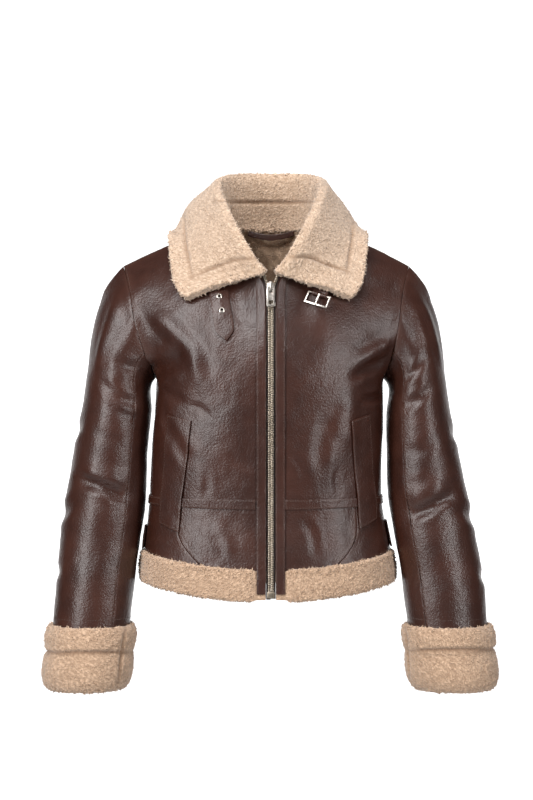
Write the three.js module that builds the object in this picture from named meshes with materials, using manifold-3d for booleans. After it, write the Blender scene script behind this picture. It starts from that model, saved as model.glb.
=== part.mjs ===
// Cropped sherpa lined jacket, filled out as it is when worn. Millimetres, +Z up, the front faces -Y.
// Right and left are the wearer's own: the wearer's right side is at -X.
import * as THREE from 'three';
import Module from 'manifold-3d';
import { mergeVertices } from 'three/addons/utils/BufferGeometryUtils.js';

const wasm = await Module();
wasm.setup();

// Cloth sizes
const WALL = 5;             // leather bonded to its own pile
const SEAM = 0.3;           // gap between two sewn pieces
const ARMHOLE_EASE = 0.15;   // more room where the sleeve turns under the arm
const COLLAR_THICK = 10;    // leather and long pile
const PILE_ROOT = 1.5;      // how far the hem band stands out at its seam
const PILE_SWELL = 3.5;     // and how much further in its middle
const BAND_INNER_PILE = 1.5;   // its pile on the inside

// How the cloth is divided for its grids
const NECK_CELLS_FRONT = 6;
const NECK_CELLS_BACK = 4;
const SHOULDER_CELLS = 8;
const ARMHOLE_CELLS = 10;
const BAND_CELLS = 3;
const LOWER_CELLS = 5;
const CHEST_CELLS = 9;
const SLEEVE_CAP_CELLS = 7;
const SLEEVE_CELLS = 14;
const UNDER_CELLS = 3;      // columns of the under sleeve on each side of the armpit

// The front closure, as distances from the centre line
const FRONT_EDGE = 7;
const FRONT_EDGE_TOP = 16;
const FLARE_START = 0.84;    // share of the way from chest to neck
const PLACKET_OUTER = 20.7;
const SLIDER_Z = -101;
const ZIP_END_Z = -548;

// Levels of the body, from the lower edge of the sherpa band to the chest. Depths are from the side seam.
const LEVELS = [
  { zFront: -561, zSide: -539, zBack: -556, right: 195, left: 186, front: 124, back: 119 },
  { zFront: -518, zSide: -498, zBack: -512, right: 194, left: 183, front: 121, back: 116 },
  { zFront: -421, zSide: -418, zBack: -420, right: 185, left: 169, front: 112, back: 108 },
  { zFront: -338, zSide: -338, zBack: -338, right: 182, left: 170, front: 116, back: 112 },
  { zFront: -285, zSide: -285, zBack: -285, right: 177, left: 172, front: 120, back: 115 },
  { zFront: -236, zSide: -236, zBack: -236, right: 175, left: 171, front: 122, back: 118 },
];
const LEATHER_EDGE = 1;
const WAIST = 2;
const CHEST = 5;
const TOP = 6;
const BOXINESS = 2.25;      // 2 would make each level an ellipse

// Neckline from its end at the centre to the high point of the shoulder
const NECK_FRONT = [
  { x: 16, y: -100, z: -79 },
  { x: 36, y: -84, z: -62 },
  { x: 58, y: -52, z: -36 },
  { x: 71, y: -20, z: -12 },
  { x: 76, y: 8, z: 2 },
];
const NECK_BACK = [
  { x: 0, y: 82, z: -2 },
  { x: 32, y: 76, z: -2 },
  { x: 60, y: 52, z: 0 },
  { x: 73, y: 28, z: 1 },
  { x: 76, y: 8, z: 2 },
];
const HIGH_POINT_Z = 1.5;      // only the shoulder seams reach above this
const SHOULDER_TIP = { right: 226, left: 212, y: 6, z: -62 };

// Armhole from the armpit to the shoulder tip, over the front and over the back
const ARMHOLE_FRONT = [
  { right: 175, left: 171, y: 0, z: -236 },
  { right: 178, left: 175, y: -26, z: -227 },
  { right: 185, left: 181, y: -45, z: -208 },
  { right: 195, left: 187, y: -58, z: -183 },
  { right: 205, left: 192, y: -61, z: -149 },
  { right: 213, left: 199, y: -46, z: -104 },
  { right: 226, left: 212, y: 6, z: -62 },
];
const ARMHOLE_BACK = [
  { right: 175, left: 171, y: 0, z: -236 },
  { right: 178, left: 174, y: 30, z: -227 },
  { right: 186, left: 180, y: 52, z: -206 },
  { right: 197, left: 187, y: 65, z: -180 },
  { right: 206, left: 193, y: 67, z: -146 },
  { right: 215, left: 201, y: 52, z: -102 },
  { right: 226, left: 212, y: 6, z: -62 },
];

// Sleeve levels below the cap: how far the outer and inner lines lie from the centre plane
const SLEEVE_LEVELS = [
  { z: -285, outerRight: 290, innerRight: 182, outerLeft: 275, innerLeft: 177, depth: 68, y: 2 },
  { z: -340, outerRight: 301, innerRight: 187, outerLeft: 286, innerLeft: 176, depth: 66, y: 0 },
  { z: -388, outerRight: 309, innerRight: 189, outerLeft: 296, innerLeft: 177, depth: 65, y: -2 },
  { z: -430, outerRight: 316, innerRight: 191, outerLeft: 305, innerLeft: 180, depth: 64, y: -5 },
  { z: -474, outerRight: 321, innerRight: 197, outerLeft: 313, innerLeft: 188, depth: 62, y: -10 },
  { z: -520, outerRight: 325, innerRight: 204, outerLeft: 321, innerLeft: 196, depth: 61, y: -15 },
  { z: -560, outerRight: 328, innerRight: 208, outerLeft: 326, innerLeft: 201, depth: 60, y: -19 },
  { z: -618, outerRight: 332, innerRight: 214, outerLeft: 330, innerLeft: 208, depth: 58, y: -24 },
];

// Cuff outline down its outside, as distances out from the sleeve: two soft rolls with a seam between
const CUFF_TOP = -608;
const CUFF_PROFILE = [
  { drop: 0, out: 3 },
  { drop: 5, out: 9 },
  { drop: 20, out: 11.5 },
  { drop: 34, out: 9.5 },
  { drop: 40, out: 7.5 },
  { drop: 46, out: 10 },
  { drop: 64, out: 12 },
  { drop: 82, out: 10 },
  { drop: 92, out: 3 },
  { drop: 93, out: -3 },
  { drop: 84, out: -6.5 },
  { drop: 40, out: -6.5 },
  { drop: 10.8, out: -5.5 },
  { drop: 10.6, out: 0.35 },
];

// Collar by sections, from the front end round to the centre back: the middle of the cloth at its roll and
// at its outer edge, and how far the leaf between them stands out and up from a straight line
const COLLAR = [
  { share: 0, rollX: 13, rollY: -114, rollZ: -79, edgeX: 121, edgeY: -80, edgeZ: -119, out: 0, up: 4 },
  { share: 0.12, rollX: 28, rollY: -114, rollZ: -62, edgeX: 136, edgeY: -66, edgeZ: -106, out: 2, up: 4 },
  { share: 0.27, rollX: 43, rollY: -105, rollZ: -36, edgeX: 143, edgeY: -46, edgeZ: -78, out: 6, up: 5 },
  { share: 0.42, rollX: 61, rollY: -80, rollZ: -2, edgeX: 145, edgeY: -14, edgeZ: -46, out: 9, up: 8 },
  { share: 0.57, rollX: 77, rollY: -36, rollZ: 37, edgeX: 144, edgeY: 26, edgeZ: -26, out: 10, up: 12 },
  { share: 0.72, rollX: 86, rollY: 14, rollZ: 68, edgeX: 148, edgeY: 60, edgeZ: -17, out: 11, up: 14 },
  { share: 0.86, rollX: 58, rollY: 61, rollZ: 81, edgeX: 92, edgeY: 100, edgeZ: -20, out: 10, up: 10 },
  { share: 1, rollX: 0, rollY: 80, rollZ: 83, edgeX: 0, edgeY: 118, edgeZ: -24, out: 9, up: 4 },
];
const COLLAR_LEFT_SCALE = 0.935;   // the left leaf lies a little closer in
const COLLAR_LEFT_BULGE = 0.45;    // and stands out less
const COLLAR_STAND_CELLS = 3;
const COLLAR_ROLL_CELLS = 3;
const COLLAR_LEAF_CELLS = 6;
const ROLL_RADIUS = 6;
const BORDER_GROOVE = 1.8;
const LEAF_CLEARANCE = 9;
const END_CLEARANCE = 12;      // over the strap and the buckle

// Largest folds seen from the front: a soft ridge or trough along a line, with its width and its height
const BODY_FOLDS = [
  { x1: -172, z1: -204, x2: -134, z2: -196, width: 17, height: -5 },
  { x1: -206, z1: -96, x2: -152, z2: -150, width: 20, height: 3 },
  { x1: -152, z1: -150, x2: -112, z2: -235, width: 20, height: 4 },
  { x1: -116, z1: -282, x2: -98, z2: -278, width: 10, height: -2 },
  { x1: 186, z1: -178, x2: 130, z2: -212, width: 14, height: 4 },
  { x1: 150, z1: -222, x2: 138, z2: -214, width: 13, height: -5 },
  { x1: 140, z1: -230, x2: 166, z2: -246, width: 13, height: 3.5 },
  { x1: 176, z1: -262, x2: 150, z2: -258, width: 10, height: -5 },
  { x1: 126, z1: -270, x2: 112, z2: -252, width: 14, height: 3 },
  { x1: -150, z1: -300, x2: -100, z2: -400, width: 26, height: 2.5 },
  { x1: 110, z1: -310, x2: 70, z2: -400, width: 28, height: 2.5 },
];
const BACK_FOLDS = [
  { x1: -170, z1: -200, x2: -90, z2: -240, width: 20, height: 4 },
  { x1: 168, z1: -196, x2: 92, z2: -238, width: 20, height: 4 },
  { x1: -160, z1: -250, x2: -120, z2: -330, width: 18, height: -4 },
  { x1: 158, z1: -246, x2: 118, z2: -335, width: 18, height: -4 },
  { x1: -60, z1: -360, x2: 40, z2: -372, width: 16, height: -3 },
];
const SLEEVE_FOLDS = [
  { x1: -286, z1: -386, x2: -212, z2: -410, width: 13, height: -5 },
  { x1: -280, z1: -358, x2: -216, z2: -376, width: 18, height: 2 },
  { x1: -258, z1: -244, x2: -200, z2: -288, width: 15, height: -2.5 },
  { x1: -262, z1: -270, x2: -208, z2: -316, width: 15, height: 1.5 },
  { x1: -280, z1: -436, x2: -216, z2: -432, width: 20, height: 1.5 },
  { x1: -284, z1: -494, x2: -232, z2: -476, width: 20, height: -1.5 },
  { x1: 206, z1: -436, x2: 272, z2: -408, width: 13, height: -5 },
  { x1: 200, z1: -402, x2: 262, z2: -378, width: 18, height: 2 },
  { x1: 254, z1: -240, x2: 194, z2: -280, width: 15, height: -2.5 },
  { x1: 248, z1: -212, x2: 202, z2: -244, width: 15, height: 1.5 },
  { x1: 214, z1: -466, x2: 274, z2: -450, width: 20, height: 1.5 },
  { x1: 228, z1: -526, x2: 282, z2: -504, width: 20, height: -1.5 },
];

// Measures of the grids that shape the cloth
const EVEN_STEPS = 400;
const NECK_SHARE = 0.42;    // where the neckline ends, as a share of a half front or back
const SLANT_COLUMN = 8;     // column that the slanting seam follows
const SLANT_SHARE_LOW = 0.38;
const SLANT_SHARE_HIGH = 0.555;
const SLANT_END = 0.45;     // where the seam stops, as a share of the way up to the waist
const REST_PASSES = 5;
const BODY_SAMPLES = { across: 40, up: 44, lowest: 4.6 };

// Strips of leather beside the zip
const OVERLAY_LIFT = 0.8;    // how far a piece stands off the cloth it lies on
const PLACKET_TOP = -83;
const PLACKET_FOOT = -552;
const PLACKET_THICK = 2;

// Zip: depths are outward from the cloth of the fronts
const TAPE_IN = -3.2;
const TAPE_OUT = -2;
const TEETH_WIDTH = 3.7;
const TEETH_IN = -1.2;
const TEETH_OUT = 1.8;
const ZIP_TOP = -81;
const ZIP_CELLS = 20;
const STOP = { width: 11, depth: 4, height: 9 };

// Slider and pull tab
const SLIDER_WIDTH = 10.6;
const SLIDER_HEIGHT = 13;
const PLATE = 1.5;
const AXIS_OUT = TEETH_OUT + SEAM + PLATE + 1.7;
const ARCH_OUT = AXIS_OUT + 1.9;
const PULL_WIDTH = 12.4;
const PULL_LENGTH = 31;
const PULL_THICK = 1.6;

// Raised strip over the waist seam, and the pocket welts that cross it
const STRIP_HALF = 0.08;    // in levels
const STRIP_THICK = 1.3;
const WELTS = {
  right: [{ x: -165, z: -452 }, { x: -136, z: -464 }, { x: -117.5, z: -297.5 }, { x: -154, z: -288 }],
  left: [{ x: 131, z: -460 }, { x: 157, z: -446 }, { x: 147, z: -288 }, { x: 117.5, z: -297.5 }],
};
const WELT_THICK = 2.2;

// Throat strap, with a pointed end, and its eyelets
const STRAP_THICK = 2;
const STRAP_TIP = 13;
const STRAP_CORNERS = [
  { x: -81, z: -168.5 }, { x: -53, z: -164.5 }, { x: -64.5, z: -103 }, { x: -91, z: -107 },
];
const EYELETS = { eyelet_upper: { x: -76.5, z: -113.5 }, eyelet_lower: { x: -72.6, z: -134.5 } };
const EYELET_HOLE = 2.3;
const EYELET_FLANGE = 4.6;

// Buckle that waits for the strap
const BUCKLE = { x: 69.6, z: -119, tilt: 18.5, width: 36, height: 19, wire: 2.2 };
const BUCKLE_OUT = 3.6;
const HEEL_Z = BUCKLE.height / 2 - BUCKLE.wire / 2;

// Tabs at the sides of the waist: their levels and their shares of a half, before and behind the side seam
const SIDE_TABS = { right: { low: 1.07, high: 1.53 }, left: { low: 1.12, high: 1.62 } };
const TAB_FRONT = 0.06;
const TAB_BACK = 0.3;
const TAB_THICK = 2.8;

// Hanger loop inside the back neck
const HANGER = { reach: 36, endY: 64.3, sag: 8, topZ: -2, height: 9, thick: 1.8 };

// Colours and surfaces
const LEATHER = { color: 0x3a1d17, roughness: 0.42, metalness: 0 };
const SHERPA = { color: 0xd9b896, roughness: 0.95, metalness: 0 };
const COLLAR_SHERPA = { color: 0xe8cdb2, roughness: 0.95, metalness: 0 };
const TAPE = { color: 0x2a1712, roughness: 0.8, metalness: 0 };
const BRASS = { color: 0x8c7a5c, roughness: 0.35, metalness: 0.9 };
const NICKEL = { color: 0xcfc6b8, roughness: 0.25, metalness: 1 };

const root = new THREE.Group();
root.name = 'sherpa_lined_jacket';

// Small helpers for points
const vec = (x, y, z) => new THREE.Vector3(x, y, z);
const mix = (a, b, t) => a + (b - a) * t;
const clamp01 = (t) => Math.min(1, Math.max(0, t));
const smooth = (t) => clamp01(t) ** 2 * (3 - 2 * clamp01(t));
const moved = (point, direction, distance) => point.clone().addScaledVector(direction, distance);
const sideKey = (side) => (side < 0 ? 'right' : 'left');

// Value of a column at a fractional row, by a smooth curve through the rows
function column(rows, key, at) {
  const last = rows.length - 1;
  const i = Math.min(last - 1, Math.max(0, Math.floor(at)));
  const t = at - i;
  const p1 = rows[i][key];
  const p2 = rows[i + 1][key];
  const p0 = i > 0 ? rows[i - 1][key] : 2 * p1 - p2;
  const p3 = i + 2 <= last ? rows[i + 2][key] : 2 * p2 - p1;
  const slopeIn = (p2 - p0) / 2;
  const slopeOut = (p3 - p1) / 2;
  return p1 * (2 * t ** 3 - 3 * t ** 2 + 1) + slopeIn * (t ** 3 - 2 * t ** 2 + t)
    + p2 * (3 * t ** 2 - 2 * t ** 3) + slopeOut * (t ** 3 - t ** 2);
}

// Fractional row at which a rising column reaches a value
function rowAt(rows, key, value) {
  const next = rows.findIndex((row) => row[key] >= value);
  if (next <= 0) return next < 0 ? rows.length - 1 : 0;
  return next - 1 + (value - rows[next - 1][key]) / (rows[next][key] - rows[next - 1][key]);
}

// A curve through the rows of a table, by its share of length
function curveOf(rows, xKey) {
  return new THREE.CatmullRomCurve3(rows.map((row) => vec(row[xKey], row.y, row.z)), false, 'centripetal');
}

// Cubic path from a to b that leaves along one direction and arrives along the other
function hermite(a, leave, b, arrive, t) {
  const point = a.clone().multiplyScalar(2 * t ** 3 - 3 * t ** 2 + 1);
  point.addScaledVector(leave, t ** 3 - 2 * t ** 2 + t);
  point.addScaledVector(b, 3 * t ** 2 - 2 * t ** 3);
  return point.addScaledVector(arrive, t ** 3 - t ** 2);
}

// Height of all folds of a table at a place seen from the front
function foldHeight(folds, x, z) {
  let total = 0;
  for (const fold of folds) {
    const dx = fold.x2 - fold.x1;
    const dz = fold.z2 - fold.z1;
    const along = clamp01(((x - fold.x1) * dx + (z - fold.z1) * dz) / (dx * dx + dz * dz));
    const away = Math.hypot(x - fold.x1 - along * dx, z - fold.z1 - along * dz) / fold.width;
    total += fold.height * Math.exp(-away * away);
  }
  return total;
}

// Angles that part a quarter of a level into equal lengths of cloth
const quarterLengths = [0];
for (let step = 1; step <= EVEN_STEPS; step += 1) {
  const before = levelShape(((step - 1) / EVEN_STEPS) * Math.PI / 2);
  const after = levelShape((step / EVEN_STEPS) * Math.PI / 2);
  const length = Math.hypot((after.out - before.out) * 170, (after.deep - before.deep) * 118);
  quarterLengths.push(quarterLengths[step - 1] + length);
}

// How far out and how deep a level reaches at an angle from the centre, as shares of its width and depth
function levelShape(angle) {
  const power = 2 / BOXINESS;
  return { out: Math.max(0, Math.sin(angle)) ** power, deep: Math.max(0, Math.cos(angle)) ** power };
}

function evenAngle(share) {
  const target = share * quarterLengths[EVEN_STEPS];
  let step = quarterLengths.findIndex((length) => length >= target);
  step = Math.max(1, step);
  const part = (target - quarterLengths[step - 1]) / (quarterLengths[step] - quarterLengths[step - 1]);
  return ((step - 1 + part) / EVEN_STEPS) * Math.PI / 2;
}

// Shares of a half front or back at which its columns stand
function halfShares(neckCells) {
  const shares = [];
  for (let i = 0; i <= neckCells; i += 1) shares.push((NECK_SHARE * i) / neckCells);
  for (let i = 1; i <= SHOULDER_CELLS; i += 1) shares.push(mix(NECK_SHARE, 1, i / SHOULDER_CELLS));
  return shares;
}
const FRONT_SHARES = halfShares(NECK_CELLS_FRONT);
const BACK_SHARES = halfShares(NECK_CELLS_BACK);

const neckCurves = { front: curveOf(NECK_FRONT, 'x'), back: curveOf(NECK_BACK, 'x') };
const armholeCurves = {
  front: { right: curveOf(ARMHOLE_FRONT, 'right'), left: curveOf(ARMHOLE_FRONT, 'left') },
  back: { right: curveOf(ARMHOLE_BACK, 'right'), left: curveOf(ARMHOLE_BACK, 'left') },
};

// Body at one of its levels, on the wearer's right (side -1) or left (side 1)
function levelPoint(face, side, share, level) {
  const { out, deep } = levelShape(evenAngle(share));
  const edge = face === 'front' ? FRONT_EDGE : 0;
  const width = column(LEVELS, sideKey(side), level);
  const depth = column(LEVELS, face, level);
  const zCentre = column(LEVELS, face === 'front' ? 'zFront' : 'zBack', level);
  const zSide = column(LEVELS, 'zSide', level);
  const y = depth * deep;
  return vec(side * mix(edge, width, out), face === 'front' ? -y : y, mix(zCentre, zSide, out ** 2));
}

// Neckline and shoulder seam
function topPoint(face, side, share) {
  if (share <= NECK_SHARE) {
    const point = neckCurves[face].getPointAt(clamp01(share / NECK_SHARE));
    return vec(side * point.x, point.y, point.z);
  }
  const high = neckCurves[face].getPointAt(1);
  const t = (share - NECK_SHARE) / (1 - NECK_SHARE);
  const drop = 3 * Math.sin(Math.PI * t);
  const x = mix(high.x, SHOULDER_TIP[sideKey(side)], t);
  return vec(side * x, mix(high.y, SHOULDER_TIP.y, t), mix(high.z, SHOULDER_TIP.z, t) + drop);
}

// Body between the chest and the top, without its armhole
function plainUpperPoint(face, side, share, t) {
  const low = levelPoint(face, side, share, CHEST);
  const high = topPoint(face, side, share);
  const reach = low.distanceTo(high);
  const forward = face === 'front' ? 1 : -1;
  const onShoulder = smooth((share - 0.12) / (NECK_SHARE - 0.12));
  const leave = vec(0, 0, reach * 1.05);
  const arrive = vec(0, forward * reach * mix(0.25, 0.95, onShoulder), reach * mix(0.95, 0.5, onShoulder));
  return hermite(low, leave, high, arrive, t);
}

// Body without its folds. Level runs from 0 at the lower edge of the band to TOP at the neck and shoulders.
function plainBodyPoint(face, side, share, level) {
  if (level <= CHEST) return levelPoint(face, side, share, level);
  const t = level - CHEST;
  const point = plainUpperPoint(face, side, share, t);
  const edge = armholeCurves[face][sideKey(side)].getPointAt(clamp01(t));
  edge.x *= side;
  const pull = edge.sub(plainUpperPoint(face, side, 1, t));
  point.addScaledVector(pull, clamp01((share - 0.3) / 0.7) ** 2.2);
  if (face === 'front') point.x += side * centreFlare(t, share);
  return point;
}

// The front edges stay straight up to the slider and turn outward only above it
function frontEdgeAt(t) {
  return mix(FRONT_EDGE, FRONT_EDGE_TOP, smooth((t - FLARE_START) / (1 - FLARE_START)));
}

function centreFlare(t, share) {
  const plain = plainUpperPoint('front', 1, 0, t).x;
  return (frontEdgeAt(t) - plain) * clamp01(1 - share / 0.25);
}

// Outward direction of a surface at a place, from its two step directions
function outward(surface, u, v, stepU, stepV) {
  const across = surface(u + stepU, v).sub(surface(u - stepU, v));
  const up = surface(u, v + stepV).sub(surface(u, v - stepV));
  return across.cross(up).normalize();
}

// Body with its folds
function bodyPoint(face, side, share, level) {
  const turn = face === 'front' ? side : -side;
  const plain = (u, v) => plainBodyPoint(face, side, Math.max(0, Math.min(1, u * turn)), v);
  const point = plainBodyPoint(face, side, share, level);
  const u = Math.min(0.995, Math.max(0.005, share)) * turn;
  const v = Math.min(TOP - 0.01, Math.max(0.01, level));
  const normal = outward(plain, u, v, 0.004, 0.008);
  const facing = face === 'front' ? -normal.y : normal.y;
  const folds = face === 'front' ? BODY_FOLDS : BACK_FOLDS;
  const fade = smooth(facing / 0.35) * smooth((TOP - level) / 0.3) * smooth((1 - share) / 0.12);
  return moved(point, normal, foldHeight(folds, point.x, point.z) * fade);
}

// Finds the place on a front that is seen at x and z, by steps along the surface
function onFront(x, z) {
  const side = x < 0 ? -1 : 1;
  let share = clamp01((Math.abs(x) - FRONT_EDGE) / 200);
  let level = 3;
  for (let pass = 0; pass < 14; pass += 1) {
    const here = bodyPoint('front', side, share, level);
    const alongShare = bodyPoint('front', side, share + 0.01, level).sub(here).divideScalar(0.01);
    const alongLevel = bodyPoint('front', side, share, level + 0.02).sub(here).divideScalar(0.02);
    const determinant = alongShare.x * alongLevel.z - alongLevel.x * alongShare.z;
    const missX = x - here.x;
    const missZ = z - here.z;
    share += clampStep((missX * alongLevel.z - alongLevel.x * missZ) / determinant, 0.25);
    level += clampStep((alongShare.x * missZ - missX * alongShare.z) / determinant, 1);
    share = Math.min(0.985, Math.max(0.001, share));
    level = Math.min(5.97, Math.max(0.03, level));
  }
  return { side, share, level };
}

function clampStep(value, most) {
  return Math.max(-most, Math.min(most, value));
}

function frontPlace(x, z) {
  const { side, share, level } = onFront(x, z);
  const surface = (u, v) => bodyPoint('front', side, u * side, v);
  return {
    point: bodyPoint('front', side, share, level),
    normal: outward(surface, share * side, level, 0.006, 0.02),
  };
}

// Sleeve ring places run round from the armpit over the front to the tip and back over the back
const RING_CELLS = 2 * ARMHOLE_CELLS;
function sleeveLevelPoint(side, turn, level) {
  const key = side < 0 ? 'Right' : 'Left';
  const outer = column(SLEEVE_LEVELS, `outer${key}`, level);
  const inner = column(SLEEVE_LEVELS, `inner${key}`, level);
  const depth = column(SLEEVE_LEVELS, 'depth', level);
  const angle = -Math.PI / 2 + turn * 2 * Math.PI;
  const x = (outer + inner) / 2 + ((outer - inner) / 2) * Math.sin(angle);
  return vec(side * x, column(SLEEVE_LEVELS, 'y', level) - depth * Math.cos(angle),
    column(SLEEVE_LEVELS, 'z', level));
}

// Sleeve without its folds: reach runs from 0 at the armhole to 1 at the first level, then counts levels
function plainSleevePoint(side, turn, reach) {
  if (reach > 1) return sleeveLevelPoint(side, turn, reach - 1);
  const over = turn <= 0.5 ? 'front' : 'back';
  const share = turn <= 0.5 ? turn * 2 : 2 - turn * 2;
  const start = armholeCurves[over][sideKey(side)].getPointAt(clamp01(share));
  start.x *= side;
  const end = sleeveLevelPoint(side, turn, 0);
  const length = start.distanceTo(end);
  const cap = (1 - Math.cos(turn * 2 * Math.PI)) / 2;
  const leave = vec(side * mix(0.9, 0.8, cap), 0, mix(-0.7, -0.6, cap)).multiplyScalar(length);
  const below = sleeveLevelPoint(side, turn, 0.1).sub(end).normalize().multiplyScalar(length);
  return hermite(start, leave, end, below, reach);
}

function sleevePoint(side, turn, reach) {
  const plain = (u, v) => plainSleevePoint(side, (((u * side) % 1) + 1) % 1, v);
  const point = plainSleevePoint(side, turn, reach);
  const v = Math.max(0.02, Math.min(SLEEVE_LEVELS.length - 0.02, reach));
  const normal = outward(plain, turn * side, v, 0.004, 0.01).negate();
  const strength = mix(1, 0.45, smooth((normal.y + 0.4) / 0.8));
  const clearOfBody = 1 - smooth((-side * normal.x - 0.5) / 0.4);
  const fade = strength * clearOfBody * smooth((reach - 0.1) / 0.5);
  return moved(point, normal, foldHeight(SLEEVE_FOLDS, point.x, point.z) * fade);
}

// A grid of cloth points; rows run upward and columns run round, so that the outside is on the right hand
function gridOf(columns, rows, pointAt) {
  return rows.map((row, j) => columns.map((place, i) => pointAt(place, row, i, j)));
}

// Directions at grid points are shared by all pieces that meet there, so that sewn edges stay parallel
const sharedNormals = new Map();
const placeKey = (point) => [point.x, point.y, point.z].map((value) => Math.round(value * 20)).join(' ');

function gridNormals(grid) {
  const rows = grid.length;
  const columns = grid[0].length;
  const normals = grid.map((row) => row.map(() => vec(0, 0, 0)));
  for (let j = 0; j + 1 < rows; j += 1) {
    for (let i = 0; i + 1 < columns; i += 1) {
      const next = i + 1;
      const across = grid[j + 1][next].clone().sub(grid[j][i]);
      const counter = grid[j + 1][i].clone().sub(grid[j][next]);
      const face = across.cross(counter);
      for (const [row, col] of [[j, i], [j, next], [j + 1, i], [j + 1, next]]) normals[row][col].add(face);
    }
  }
  return normals;
}

// At the centre front a direction never leans sideways
function centred(normal, point) {
  if (point.y < 0 && Math.abs(point.x) <= FRONT_EDGE_TOP + 0.5) normal.x = 0;
  return normal.normalize();
}

function shareNormals(grid, normals) {
  grid.forEach((row, j) => row.forEach((point, i) => {
    const key = placeKey(point);
    const sum = sharedNormals.get(key) ?? vec(0, 0, 0);
    sharedNormals.set(key, sum.add(centred(normals[j][i].clone(), point)));
  }));
}

function sharedNormal(point) {
  return sharedNormals.get(placeKey(point)).clone().normalize();
}

// Draws the edge points of a grid in by half a seam, and its top row by a little ease more
function trimmed(grid, topEase) {
  const last = grid.length - 1;
  const end = grid[0].length - 1;
  const half = SEAM / 2 + 0.01;
  const step = (from, to, distance) => to.clone().sub(from).normalize().multiplyScalar(distance);
  return grid.map((row, j) => row.map((point, i) => {
    const place = point.clone();
    if (j === 0) place.add(step(point, grid[1][i], half));
    if (j === last) place.add(step(point, grid[last - 1][i], half + topEase));
    if (i === 0) place.add(step(point, row[1], half));
    if (i === end) place.add(step(point, row[end - 1], half));
    return place;
  }));
}

// Collects triangles of a closed body and adds it to the group
function addSolid(name, points, faces, look) {
  const geometry = new THREE.BufferGeometry();
  const coordinates = points.flatMap((point) => [point.x, point.y, point.z]);
  geometry.setAttribute('position', new THREE.Float32BufferAttribute(coordinates, 3));
  geometry.setIndex(faces.flat());
  geometry.computeVertexNormals();
  const mesh = new THREE.Mesh(geometry, new THREE.MeshStandardMaterial(look));
  mesh.name = name;
  root.add(mesh);
  return mesh;
}

// Of two neighbouring edge points, tells which comes first wherever two pieces meet
function comesFirst(a, b) {
  const fold = (sum, value) => sum * 1e4 + Math.round(value * 50);
  const key = (point) => [point.z, point.x, point.y].reduce(fold, 0);
  return key(a) < key(b);
}

// Cloth wall: its outer face lies a little off the grid, its inner face further in, and its edges are closed
function addWall(name, grid, normals, outerAt, innerAt, look, turnedOver = false) {
  const rows = grid.length;
  const columns = grid[0].length;
  const points = [];
  const index = { outer: [], inner: [] };
  for (const [face, offsetAt] of [['outer', outerAt], ['inner', innerAt]]) {
    grid.forEach((row, j) => {
      index[face].push(row.map((point, i) => points.push(moved(point, normals[j][i], offsetAt(i, j))) - 1));
    });
  }
  const faces = [];
  const quad = (a, b, c, d) => faces.push([a, b, c], [a, c, d]);
  const { outer, inner } = index;
  for (let j = 0; j + 1 < rows; j += 1) {
    for (let i = 0; i + 1 < columns; i += 1) {
      quad(outer[j][i], outer[j][i + 1], outer[j + 1][i + 1], outer[j + 1][i]);
      quad(inner[j][i], inner[j + 1][i], inner[j + 1][i + 1], inner[j][i + 1]);
    }
  }
  // Edge strip from a to b with the outside on its right; its diagonal depends on place alone
  const strip = (ja, ia, jb, ib) => {
    const [inA, outA, outB, inB] = [inner[ja][ia], outer[ja][ia], outer[jb][ib], inner[jb][ib]];
    if (comesFirst(grid[ja][ia], grid[jb][ib]) !== turnedOver) quad(inA, outA, outB, inB);
    else quad(outA, outB, inB, inA);
  };
  for (let i = 0; i + 1 < columns; i += 1) {
    strip(0, i + 1, 0, i);
    strip(rows - 1, i, rows - 1, i + 1);
  }
  for (let j = 0; j + 1 < rows; j += 1) {
    strip(j, 0, j + 1, 0);
    strip(j + 1, columns - 1, j, columns - 1);
  }
  return addSolid(name, points, faces, look);
}

// Cloth pieces wait here until all of them have shared their directions
const clothPieces = [];
// The armpit and the shoulder tip lie on two body pieces, so the sleeve counts twice there
const isSeamEnd = (point) => Math.abs(point.z - ARMHOLE_FRONT[0].z) < 0.01 || point.z > SHOULDER_TIP.z - 0.01;

function doubledPlaces(grid) {
  return grid[grid.length - 1].filter(isSeamEnd);
}

function doubledNormals(grid) {
  const top = gridNormals(grid)[grid.length - 1];
  return top.filter((normal, i) => isSeamEnd(grid[grid.length - 1][i]));
}

function planCloth(name, grid, outerAt, innerAt, look, topEase = 0) {
  shareNormals(grid, gridNormals(grid));
  if (topEase > 0) shareNormals([doubledPlaces(grid)], [doubledNormals(grid)]);
  clothPieces.push({ name, grid, outerAt, innerAt, look, topEase });
}

function sewCloth() {
  for (const { name, grid, outerAt, innerAt, look, topEase } of clothPieces) {
    const normals = grid.map((row) => row.map((point) => sharedNormal(point)));
    addWall(name, trimmed(grid, topEase), normals, outerAt, innerAt, look);
  }
}

// Rows of levels, evenly parted between two of them
function levelRows(from, to, cells) {
  return Array.from({ length: cells + 1 }, (unused, k) => mix(from, to, k / cells));
}
const UPPER_ROWS = [
  ...levelRows(WAIST, CHEST, CHEST_CELLS),
  ...levelRows(CHEST, TOP, ARMHOLE_CELLS).slice(1),
];
const LOWER_ROWS = levelRows(LEATHER_EDGE, WAIST, LOWER_CELLS);
const BAND_ROWS = levelRows(0, LEATHER_EDGE, BAND_CELLS);

// Columns of one front in the order that keeps its outside outward
function frontColumns(side) {
  const shares = side < 0 ? [...FRONT_SHARES].reverse() : FRONT_SHARES;
  return shares.map((share) => ({ side, share }));
}

// Columns of the whole back from the left side seam round to the right one
const BACK_COLUMNS = [
  ...[...BACK_SHARES].reverse().map((share) => ({ side: 1, share })),
  ...BACK_SHARES.slice(1).map((share) => ({ side: -1, share })),
];

const flush = () => 0;
const fullWall = () => -WALL;
const backPoint = (place, row) => bodyPoint('back', place.side, place.share, row);

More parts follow.
